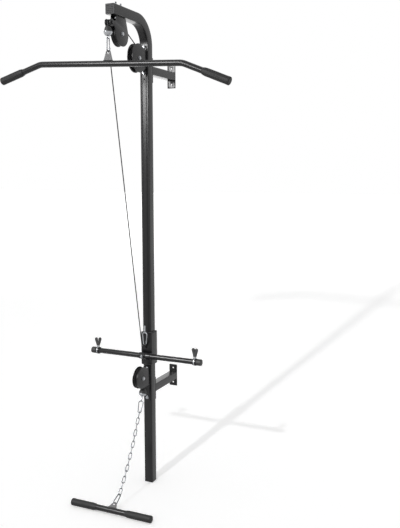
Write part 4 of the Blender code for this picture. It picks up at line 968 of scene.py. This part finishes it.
def low_cable():
    """From the lat hook down, round the low pulley and out to the low stopper."""
    wrap = curved(LOWER_CENTRE, CABLE_RING, LOW_RUN_ANGLE, -LOW_LEAN, 24)
    down = downwards(-LOW_RUN_ANGLE)
    ends = [LOW_EYE + down * below for below in (80 * MM, 160 * MM, 280 * MM)] + wrap[:1]
    begin = LOW_EYE + down * 39.3 * MM
    for i, word in enumerate(("lead", "turn", "run")):
        bent = cable(f"low_cable_{word}", "low_cable", [begin, ends[i + 1] + down * MM])
        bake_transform(bent)
        begin = ends[i + 1]
    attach(cable("low_cable_wrap", "low_cable", wrap), "frame")
    leave, out = wrap[-1], downwards(LOW_LEAN)
    end = cable("low_cable_end", "low_cable", [leave, leave + out * 66 * MM], 0.8 * MM, 0.0)
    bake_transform(end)


# Hooks, eyes and stoppers

HOOK_LENGTH = 60 * MM
HOOK_WIRE = 2.6 * MM
EYE_LENGTH = 15 * MM
EYE_BITE = 10.5 * MM
CUP_RADIUS = 20 * MM
SIDES = {"X": (1, 0, 0), "Y": (0, 1, 0)}


def in_plane(points, facing):
    """Stands (across, up) points in the plane that faces along X or Y."""
    return [Vector((0, a, up)) if facing == "X" else Vector((a, 0, up)) for a, up in points]


def pear(length, top_half, low_half, count=14):
    """A long loop's centreline from its right side over the top to its lower right."""
    drop = length - top_half - low_half
    slant = acos((top_half - low_half) / drop) - pi / 2
    top = arc((0, -top_half), top_half, -slant, pi + slant, count)
    low = arc((0, low_half - length), low_half, pi + slant, 2 * pi - slant, count)
    return top + low


def closed_loop(length, top_half, low_half, wire, facing):
    return sweep(in_plane(pear(length, top_half, low_half), facing), round_bar(wire, 20),
                 SIDES[facing], closed=True)


def snap_hook(word, line, body, place, facing, top_half, low_half, finish=WORN_WIRE):
    """A spring hook of round wire, with a knuckle for its gate, and the riveted gate."""
    loop = pear(HOOK_LENGTH, top_half, low_half)
    high_end, low_end = Vector(loop[0]), Vector(loop[-1])
    opening = low_end - high_end
    way = opening.normalized()
    nose, heel = high_end + opening * 0.07, low_end - opening * 0.13
    bent = sweep(in_plane([nose] + loop + [heel], facing), round_bar(HOOK_WIRE, 20),
                 SIDES[facing])
    pin_at, rivet_at = in_plane([heel + way * 1.2 * MM, nose + way * 2.9 * MM], facing)
    piece(f"{word}_snap_hook", [
        (bent, place), (rod(3.3 * MM, 3.1 * MM, 24, 0.8 * MM), place @ turn(facing, pin_at))],
        finish, body, [f"{line}_hook"])
    start, end = heel - way * 2.4 * MM, nose + way * 0.9 * MM
    gate = in_plane([start, start - way * 4 * MM, end + way * 5 * MM, end], facing)
    bar = tapered(gate, [r * MM for r in (2.3, 2.1, 2.1, 2.3)], SIDES[facing])
    rivet = rod(1.2 * MM, 3.4 * MM, 16, 0.4 * MM)
    piece(f"{word}_hook_gate", [(bar, place), (rivet, place @ turn(facing, rivet_at))],
          finish, f"{line}_gate", [f"{line}_hook_gate"])


def tapered(route, widths, side, steps=20):
    """A round bar whose radius changes from point to point, with domed ends."""
    ahead = (route[1] - route[0]).normalized()
    behind = (route[-1] - route[-2]).normalized()
    dome = [(sin(radians(a)), cos(radians(a))) for a in (75, 50, 25)]
    points = [route[0] - ahead * widths[0] * 0.6 * out for out, _ in dome] + route
    points += [route[-1] + behind * widths[-1] * 0.6 * out for out, _ in reversed(dome)]
    radii = [widths[0] * across for _, across in dome] + widths
    radii += [widths[-1] * across for _, across in reversed(dome)]
    lengths = [0.0]
    for a, b in zip(points, points[1:]):
        lengths.append(lengths[-1] + (b - a).length)

    def ring(travelled):
        nearest = min(range(len(lengths)), key=lambda i: abs(lengths[i] - travelled))
        return circle(radii[nearest], steps)
    return sweep(points, ring, side)


def crimped(radius, top, low, bites):
    """A pressed ferrule, pinched where the tool closed on it."""
    height = top - low
    waist = radius * 0.84
    points = [(0, top), (radius * 0.8, top), (radius, top - 1 * MM)]
    for i in range(bites):
        middle = top - height * (i + 0.75) / (bites + 0.5)
        reach = height * 0.3 / bites
        points += [(radius, middle + reach), (waist, middle + reach * 0.4),
                   (waist, middle - reach * 0.4), (radius, middle - reach)]
    points += [(radius, low + 1 * MM), (radius * 0.8, low), (0, low)]
    return lathe(points, 40)


def bell_cup(top, height):
    """A spun cup, open at its top, with a rolled lip."""
    low = top - height
    return lathe([(0, low), (7.5 * MM, low), (11 * MM, low + height * 0.1),
                  (15.2 * MM, low + height * 0.31), (18.4 * MM, low + height * 0.6),
                  (19.3 * MM, top - 2.4 * MM), (CUP_RADIUS, top - 1.6 * MM),
                  (CUP_RADIUS, top - 0.5 * MM), (19.3 * MM, top), (18.2 * MM, top - 0.4 * MM),
                  (17.6 * MM, top - 3 * MM), (0, top - 3 * MM)], 64)


def eye_fitting(name, node, body, place, facing, neck, cup=None):
    """A thimble eye with its top at the origin, a ferrule up to its neck, and maybe a cup
    over that, given as its top and height."""
    loop = closed_loop(EYE_LENGTH, 4.4 * MM, 5.5 * MM, 1.6 * MM, facing)
    top, bites = (neck + 1 * MM, 1) if cup else (neck, 3)
    shapes = [(loop, place), (crimped(4.2 * MM, top, -3.2 * MM, bites), place)]
    if cup:
        shapes.append((bell_cup(*cup), place))
    piece(name, shapes, ZINC_PLATE, body, [node])


def stopper(name, node, body, place, radius, foot):
    """A rubber cone on the cable, its small end up and its foot in the cup below."""
    top, bore = 22 * MM, 2.7 * MM
    profile = eased([(bore, top), (radius * 0.56, top), (radius * 0.75, 18 * MM),
                     (radius, 7 * MM), (radius, foot), (bore, foot)], 2 * MM, steps=5)
    piece(name, [(lathe(profile, 64, ring=True), place)], STOP_RUBBER, body, [node])


def line_ends():
    """What hangs on each cable's ends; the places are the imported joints' own."""
    carriage_top = Vector((0, -0.3175, -1.280782))
    lat_line = Vector((0, -0.6155, 0.0912))
    low_line = hung((0, -0.320886, -1.521419), lean=-LOW_LEAN)
    low_hook = hung((0, -0.361269, -1.621369), lean=-LOW_LEAN)
    snap_hook("carriage", "carriage", "carriage", Matrix.Translation(carriage_top), "Y",
              12 * MM, 8.2 * MM, ZINC_PLATE)
    eye_fitting("carriage_cable_eye", "carriage_end_fitting", "carriage",
                Matrix.Translation(carriage_top + Vector((0, 0, EYE_BITE))), "X", 24 * MM)
    eye_fitting("high_cup_and_eye", "lat_end_fitting", "lat_fitting",
                Matrix.Translation(lat_line + Vector((0, 0, EYE_LENGTH))), "Y", 3 * MM,
                (14 * MM, 19 * MM))
    stopper("high_stopper", "lat_stopper", "lat_line",
            Matrix.Translation(spot(LAT_DEPTH, 2199.5 * MM)), 16 * MM, -5 * MM)
    hook_top = lat_line + Vector((0, 0, EYE_LENGTH - EYE_BITE))
    snap_hook("high", "lat", "lat_snap", Matrix.Translation(hook_top), "X", 8.6 * MM,
              11 * MM)
    along_run = hung(LOW_EYE, lean=pi + LOW_RUN_ANGLE)
    eye_fitting("low_cable_top_eye", "low_cable_top_fitting", "lat_snap",
                along_run @ Matrix.Translation((0, 0, EYE_LENGTH)), "Y", 24 * MM)
    stopper("low_cone", "low_stopper", "low_line",
            low_line @ Matrix.Translation((0, 0, -68 * MM)), 18 * MM, -6 * MM)
    eye_fitting("low_cup_and_eye", "low_end_fitting", "low_line",
                low_line @ Matrix.Translation((0, 0, -97.3 * MM)), "X", 14 * MM,
                (26 * MM, 13 * MM))
    snap_hook("low", "low", "low_snap", low_hook, "Y", 12 * MM, 8.2 * MM)


# Chain

# Where each group of links hangs, how it leans, its first link's number and its count
CHAIN_PLACES = (
    ("chain_top", "chain_1", (0, -0.383745, -1.677001), 25.5, 0, 5),
    ("chain_middle", "chain_2", (0, -0.442261, -1.800964), 31.0, 5, 5),
    ("chain_end", "chain_3", (0, -0.518795, -1.928339), 37.0, 10, 4))
LINK_PITCH = 28.2 * MM
LINK_BITE = 0.8 * MM
LINK_WIRE = 2.2 * MM
LINK_WIDTH = 13 * MM
LAST_LINK_PLACE = (0, -0.587289, -2.019233)
LAST_LINK_WIRE = 2.6 * MM
LAST_LINK_LENGTH = 54 * MM
LAST_LINK_HALF = 9 * MM
PULL_LEAN = acos(0.466104)


def highest(node, place):
    """The top of a CAD node, up a frame's own Z."""
    inward = place.inverted()
    return max((inward @ v.co).z for v in frame["nodes"][node].data.vertices)


def twisted(degrees):
    """The turn about the chain's run that the photograph shows."""
    return Matrix.Rotation(radians(degrees), 4, "Z")


def chain():
    length = LINK_PITCH + 2 * LINK_WIRE
    for body, node, place, lean, first, count in CHAIN_PLACES:
        frame_here = hung(place, lean=-radians(lean)) @ twisted(30)
        links = wire_path(f"{node}_links", [(0, 0, 0)])
        grow(links, CHAIN, Count=count, First=first, Pitch=LINK_PITCH + LINK_BITE,
             Length=length, Width=LINK_WIDTH, Wire=LINK_WIRE, Finish=WORN_WIRE)
        middle = highest(node, frame_here) - LINK_WIRE - length / 2
        links.data.transform(frame_here @ Matrix.Translation((0, 0, middle)))
        fit(links, body, [node])


def bottom_link():
    place = hung(LAST_LINK_PLACE, lean=-PULL_LEAN)
    top = highest("bottom_link", place) - LAST_LINK_WIRE
    loop = closed_loop(LAST_LINK_LENGTH, 6.5 * MM, LAST_LINK_HALF, LAST_LINK_WIRE, "X")
    piece("bottom_chain_link", [(loop, place @ Matrix.Translation((0, 0, top))
                                 @ twisted(-42))],
          WORN_WIRE, "link", ["bottom_link"])


# Bars, tabs and grips

BAR_RADIUS = 13.5 * MM
BAR_WALL = 2 * MM
TAB_HOLE = 6.5 * MM
TAB_TOP_HALF = 10 * MM
TAB_BASE_HALF = 23 * MM
TAB_THICKNESS = 5 * MM
LAT_TAB = 48 * MM
LAT_TILT = radians(2.8)
LAT_BEND = radians(19)
LAT_BEND_RADIUS = 90 * MM
LAT_STRAIGHT_HALF = 360 * MM
LAT_END = 212 * MM
PULL_TAB = 36 * MM
PULL_HALF = 211 * MM
UPRIGHT = Matrix.Rotation(pi / 2, 4, "X")


def tab_plate(height):
    """A trapezoid tab with a rounded top; its hole is at the origin, its base below."""
    base = height - BAR_RADIUS + 2 * MM
    outline = [(-TAB_BASE_HALF, -base), (TAB_BASE_HALF, -base), (TAB_TOP_HALF, 6 * MM)]
    outline += arc((0, 0), TAB_TOP_HALF, radians(50), radians(130), 12)
    outline.append((-TAB_TOP_HALF, 6 * MM))
    return extruded(eased(outline, 2 * MM), TAB_THICKNESS, [(0, 0, TAB_HOLE)], 0.7 * MM)


def tab_welds(name, body, hole, height):
    """A bead along each side of a tab's foot, where it meets the bar's round back."""
    beads = []
    for side in (-1, 1):
        y = side * 3.6 * MM
        z = -height + sqrt(BAR_RADIUS ** 2 - y * y) + 0.2 * MM
        beads.append([hole @ Vector((x * MM, y, z)) for x in range(-22, 23, 4)])
    weld_beads(name, body, beads, 1.9 * MM, 1.4 * MM)


def grip_sleeve(name, node, body, place, radius, length):
    """A moulded sleeve with shallow flutes and a tapered inner end; it runs up its own Z."""
    closed_end, bore, round_over = length + 5 * MM, BAR_RADIUS + 0.1 * MM, 4 * MM
    profile = [(0, closed_end), (radius - round_over, closed_end)]
    profile += [(radius - round_over + round_over * sin(a),
                 closed_end - round_over + round_over * cos(a))
                for a in (pi / 10, pi / 5, pi * 0.3, pi * 0.4, pi / 2)]
    profile += [(radius, length - 6 * MM), (radius - 0.4 * MM, length - 11 * MM),
                (radius - 0.3 * MM, length * 0.5), (radius - 0.5 * MM, 15 * MM),
                (radius - 1.6 * MM, 7 * MM), (radius - 2.8 * MM, 1 * MM),
                (radius - 3.2 * MM, 0), (bore, 0), (bore, length), (0, length)]
    sleeve = lathe(profile, 72)
    flutes, share = 18, 0.035
    for vert in sleeve.verts:
        out = hypot(vert.co.x, vert.co.y)
        if 11.5 * MM < vert.co.z < length - 9 * MM and out > BAR_RADIUS + 1 * MM:
            a = atan2(vert.co.y, vert.co.x)
            vert.co.xy *= 1 - share * max(0.0, cos(a * flutes)) ** 0.5
    piece(name, [(sleeve, place)], GRIP_RUBBER, body, [node])


def play_in_tab(wire, loop_half):
    """How far off a tab's hole centre a loop's wire bears, as the loop curves through it."""
    inside = loop_half - wire
    bow = inside - sqrt(inside ** 2 - (TAB_THICKNESS / 2) ** 2)
    return TAB_HOLE - wire - bow - GAP


def hand_bar(word, line, place, play, tab, right, bend, grip_radius, grip_length):
    """A bar from its right half's route: the tube, its welded tab and a grip on each end,
    which points down by the bend."""
    body = f"{line}_handle"
    route = [(-x, z) for x, z in reversed(right)] + right
    tube = sweep(in_plane(route, "Y"), round_bar(BAR_RADIUS, 48), SIDES["Y"],
                 inner=round_bar(BAR_RADIUS - BAR_WALL, 48))
    piece(f"{word}_bar", [(tube, place)], POWDER_COAT, body, [f"{line}_bar"])
    hole = place @ Matrix.Translation((0, 0, -play))
    piece(f"{word}_bar_tab", [(tab_plate(tab), hole @ UPRIGHT)], GREY_COAT, body, ())
    tab_welds(f"{word}_bar_welds", body, hole, tab)
    x, z = right[-1]
    for side, hand in ((1, "right"), (-1, "left")):
        at = (side * (x - cos(bend) * grip_length), 0, z + sin(bend) * grip_length)
        grip_sleeve(f"{word}_grip_{hand}", f"{line}_grip_{hand}", body,
                    place @ Matrix.Translation(at)
                    @ Matrix.Rotation(side * (pi / 2 + bend), 4, "Y"),
                    grip_radius, grip_length)


def wide_bar():
    play = play_in_tab(HOOK_WIRE, 11 * MM)
    axis_z = -play - LAT_TAB
    start = LAT_STRAIGHT_HALF - LAT_BEND_RADIUS * tan(LAT_BEND / 2)
    right = arc((start, axis_z - LAT_BEND_RADIUS), LAT_BEND_RADIUS, pi / 2,
                pi / 2 - LAT_BEND, 12)
    x, z = right[-1]
    right.append((x + cos(LAT_BEND) * LAT_END, z - sin(LAT_BEND) * LAT_END))
    hand_bar("wide", "lat", hung((0, -0.6155, 0.0357), tilt=LAT_TILT), play, LAT_TAB, right,
             LAT_BEND, 18 * MM, 125 * MM)


def short_bar():
    play = play_in_tab(LAST_LINK_WIRE, LAST_LINK_HALF)
    hand_bar("short", "pull", hung((0, -0.630085, -2.041779), lean=-PULL_LEAN), play,
             PULL_TAB, [(PULL_HALF, -play - PULL_TAB)], 0.0, 17 * MM, 132 * MM)


# Carriage

SLEEVE = 60 * MM
SLEEVE_WALL = 3 * MM
SLEEVE_LOW = 631 * MM
SLEEVE_LENGTH = 160 * MM
HOLDER = 16.3 * MM
HOLDER_HALF = 31 * MM
BAR_DEPTH = -44.3 * MM
BAR_HEIGHT = 676 * MM
BAR_AT = spot(BAR_DEPTH, BAR_HEIGHT)
BAR_BORE = BAR_RADIUS + GAP
BAR_HALF = 306 * MM
CARRIAGE_HOLE_HEIGHT = 733 * MM
COLLAR_AT = 275 * MM


def carriage():
    """The sleeve with the bar's holder and the cable's tab, their welds and a set screw."""
    inside = SLEEVE - 2 * SLEEVE_WALL
    tube = sweep([spot(0, SLEEVE_LOW), spot(0, SLEEVE_LOW + SLEEVE_LENGTH)],
                 square_bar(SLEEVE, SLEEVE, 3 * MM), inner=square_bar(inside, inside, 1 * MM))
    holder = bush(HOLDER, BAR_BORE, HOLDER_HALF, 0.8 * MM, 56)
    hole_z, root, inner = CARRIAGE_HOLE_HEIGHT, 2 * TAB_TOP_HALF, -29 * MM
    outline = [(inner, hole_z + root), (inner - 1 * MM, hole_z + root)]
    outline += arc((CARRIAGE_DEPTH, hole_z), TAB_TOP_HALF, radians(80), radians(280), 24)
    outline += [(inner - 1 * MM, hole_z - root), (inner, hole_z - root)]
    tab = extruded(outline, TAB_THICKNESS, [(CARRIAGE_DEPTH, hole_z, TAB_HOLE)], 0.6 * MM)
    made = thing("weight_carriage", tube, POWDER_COAT)
    carve(made, merged([(rod(15.5 * MM, 40 * MM, 48), turn("X", BAR_AT))]))
    piece("weight_carriage", [(unmade(made), Matrix()), (holder, turn("X", BAR_AT)),
                              (tab, SIDE_ON)],
          POWDER_COAT, "carriage", ["carriage_sleeve"])
    face = -SLEEVE / 2 - 0.1 * MM
    seam = []
    for side in (1, -1):
        z = BAR_HEIGHT + side * sqrt(HOLDER ** 2 - (face - BAR_DEPTH) ** 2)
        seam.append([spot(face, z, x * MM) for x in range(-27, 28, 6)])
    for x in (-3.4 * MM, 3.4 * MM):
        seam.append([spot(face, hole_z + z * MM, x) for z in range(-19, 20, 4)])
    weld_beads("carriage_welds", "carriage", seam)
    screw = merged([(washer(6.4 * MM, 2.9 * MM, 1 * MM), Matrix()),
                    (hexagon(9.6 * MM, 3.8 * MM, 0.2 * MM), Matrix.Translation((0, 0, 1 * MM))),
                    (lathe(thread(3 * MM, 0.5 * MM, -2.6 * MM), 20), Matrix())])
    piece("bar_lock_screw", [(screw, turn("-Y", spot(-60.5 * MM, BAR_HEIGHT, -12 * MM)))],
          ZINC_PLATE, "carriage", ["bar_set_screw"])


def weight_bar():
    piece("plate_bar", [(rod(BAR_RADIUS, BAR_HALF, 56, 0.8 * MM), turn("X", BAR_AT))],
          POWDER_COAT, "carriage", ["weight_bar"])
    outer, end, low = 16 * MM, 4 * MM, -20 * MM
    profile = eased([(0, end), (outer, end), (outer, low), (BAR_BORE, low), (BAR_BORE, 0),
                     (0, 0)], 2.2 * MM, closed=False, steps=6)
    for side, word, axis in ((1, "right", "X"), (-1, "left", "-X")):
        at = BAR_AT + Vector((side * BAR_HALF, 0, 0))
        piece(f"plate_bar_cap_{word}", [(lathe(profile, 56), turn(axis, at))], STOP_RUBBER,
              "carriage", [f"bar_cap_{word}"])
        collar(word, BAR_AT + Vector((side * COLLAR_AT, 0, 0)))


def collar(word, at):
    """A black sliding collar with a bright lock band and neck, and its wing screw."""
    body = f"{word}_collar"
    piece(f"sliding_collar_{word}",
          [(bush(17.6 * MM, BAR_BORE, 9 * MM, 1.2 * MM), turn("X", at))],
          POWDER_COAT, body, [f"collar_{word}"])
    neck = lathe(eased([(4 * MM, 27 * MM), (7 * MM, 27 * MM), (7 * MM, 16 * MM),
                        (4 * MM, 16 * MM)], 0.8 * MM), 32, ring=True)
    piece(f"collar_band_{word}",
          [(bush(18.6 * MM, 17 * MM, 2.5 * MM, 0.6 * MM), turn("X", at)),
           (neck, turn("Z", at))], ZINC_PLATE, body, ())
    base = 27.3 * MM
    stem = lathe(eased([(0, base + 12 * MM), (7 * MM, base + 12 * MM), (9 * MM, base + 2 * MM),
                        (9 * MM, base), (3.5 * MM, base), (3.5 * MM, BAR_BORE),
                        (0, BAR_BORE)], 1.4 * MM, closed=False), 40)
    right = [(8.8 * MM, base + 1 * MM)]
    right += arc((9.6 * MM, 59.7 * MM), 8.2 * MM, radians(-8), radians(165), 18)
    right.append((0.5 * MM, base + 21 * MM))
    outline = right + [(-x, z) for x, z in reversed(right)]
    wings = extruded(eased(outline, 1.6 * MM), 12 * MM, edge=5 * MM)
    turned = Matrix.Rotation(radians(18 if word == "left" else -12), 4, "Z")
    piece(f"wing_knob_{word}", [(stem, turn("Z", at)),
                                (wings, Matrix.Translation(at) @ turned @ UPRIGHT)],
          PLUG_PLASTIC, f"{word}_wing", [f"wing_screw_{word}"])


# Stage: floor, key lamp and surrounding light

AMBIENT = 0.62
KEY = 1.8
TALL = 11.0
RIM = 0.6
FLOOR_GLOW = 0.33
FAR_GLOW = 0.7
NEAR_FLOOR = 6.0
FAR_FLOOR = 11.0
FLOOR_REACH = 40.0
WHITE = (1, 1, 1, 1)


def seen_directly(tree):
    """One for what the camera sees, straight or in gloss or glass, and nought otherwise."""
    ray = add(tree, "ShaderNodeLightPath").outputs
    gloss = add(tree, "ShaderNodeMath", links={0: ray["Is Camera Ray"],
                                               1: ray["Is Glossy Ray"]}, operation="ADD")
    clear = add(tree, "ShaderNodeMath", links={0: gloss.outputs[0],
                                               1: ray["Is Transmission Ray"]},
                operation="ADD", use_clamp=True)
    return clear.outputs[0]


def floor_paint():
    """White paint that glows to the camera, more so far out, where the lamps fade."""
    paint = bpy.data.materials.new("white_studio_floor")
    paint.use_nodes = True
    tree = paint.node_tree
    shader = tree.nodes["Principled BSDF"]
    shader.inputs["Base Color"].default_value = linear("eeeeee")
    shader.inputs["Roughness"].default_value = 0.9
    shader.inputs["Specular IOR Level"].default_value = 0.0
    place = add(tree, "ShaderNodeTexCoord").outputs["Object"]
    away = add(tree, "ShaderNodeVectorMath", links={0: place}, operation="LENGTH")
    level = add(tree, "ShaderNodeMapRange",
                {"From Min": NEAR_FLOOR, "From Max": FAR_FLOOR, "To Min": FLOOR_GLOW,
                 "To Max": FAR_GLOW}, {"Value": away.outputs["Value"]})
    glow = add(tree, "ShaderNodeMath", links={0: seen_directly(tree), 1: level.outputs["Result"]},
               operation="MULTIPLY")
    tree.links.new(glow.outputs[0], shader.inputs["Emission Strength"])
    shader.inputs["Emission Color"].default_value = WHITE
    return paint


def softbox(name, place, target, size, strength, even=False):
    """A studio softbox, as bright far off as near by; an even one makes up for the slant at
    which its light meets the far floor."""
    lamp = bpy.data.lights.new(name, "AREA")
    lamp.shape = "RECTANGLE"
    lamp.size, lamp.size_y = size
    lamp.energy = 1.0
    lamp.use_nodes = True
    tree = lamp.node_tree
    steady = add(tree, "ShaderNodeLightFalloff", {"Strength": strength})
    level = steady.outputs["Constant"]
    if even:
        reach = add(tree, "ShaderNodeLightFalloff", {"Strength": 1 / (place[2] - FLOOR)})
        level = add(tree, "ShaderNodeMath", links={0: level, 1: reach.outputs["Linear"]},
                    operation="MULTIPLY").outputs[0]
    tree.links.new(level, tree.nodes["Emission"].inputs["Strength"])
    made = bpy.data.objects.new(name, lamp)
    made.location = place
    made.rotation_euler = (Vector(target) - Vector(place)).to_track_quat("-Z", "Y").to_euler()
    bpy.context.scene.collection.objects.link(made)
    return made


def stage():
    mesh = bpy.data.meshes.new("floor")
    mesh.from_pydata([(x * FLOOR_REACH, y * FLOOR_REACH, FLOOR) for x, y in
                      ((-1, -1), (1, -1), (1, 1), (-1, 1))], [], [(0, 1, 2, 3)])
    mesh.materials.append(floor_paint())
    floor = bpy.data.objects.new("studio_floor", mesh)
    bpy.context.scene.collection.objects.link(floor)
    world = bpy.data.worlds.new("studio")
    world.use_nodes = True
    bpy.context.scene.world = world
    tree = world.node_tree
    back = tree.nodes["Background"]
    back.inputs["Color"].default_value = WHITE
    level = add(tree, "ShaderNodeMapRange", {"To Min": AMBIENT, "To Max": 1.0},
                {"Value": seen_directly(tree)})
    tree.links.new(level.outputs["Result"], back.inputs["Strength"])
    softbox("key_softbox", (-0.13, -4.2, 1.25), (0, -0.3, -1.2), (0.12, 0.12), KEY,
            even=True)
    tall = softbox("tall_softbox", (-1.3, -3.2, 0.75), (0, -0.4, -0.8), (1.1, 1.5), TALL)
    tall.visible_diffuse = False
    rim = softbox("rim_softbox", (-1.4, 2.6, -0.6), (0, -0.2, -1.5), (2.4, 1.2), RIM)
    rim.visible_diffuse = rim.visible_camera = False


post_and_boom()
boom_cap()
foot_plug()
wall_arm("upper", UPPER_ARM_HEIGHT)
wall_arm("lower", LOWER_ARM_HEIGHT)
boom_bracket()
upper_bracket()
lower_bracket()
bolts()
for word, centre in WHEELS.items():
    pulley(word, centre)
guide_roller()
upper_cable()
low_cable()
line_ends()
chain()
bottom_link()
wide_bar()
short_bar()
carriage()
weight_bar()
for name in ("liner_bottom", "liner_top"):
    for slot in frame["nodes"][name].material_slots:
        slot.material = NYLON
stage()
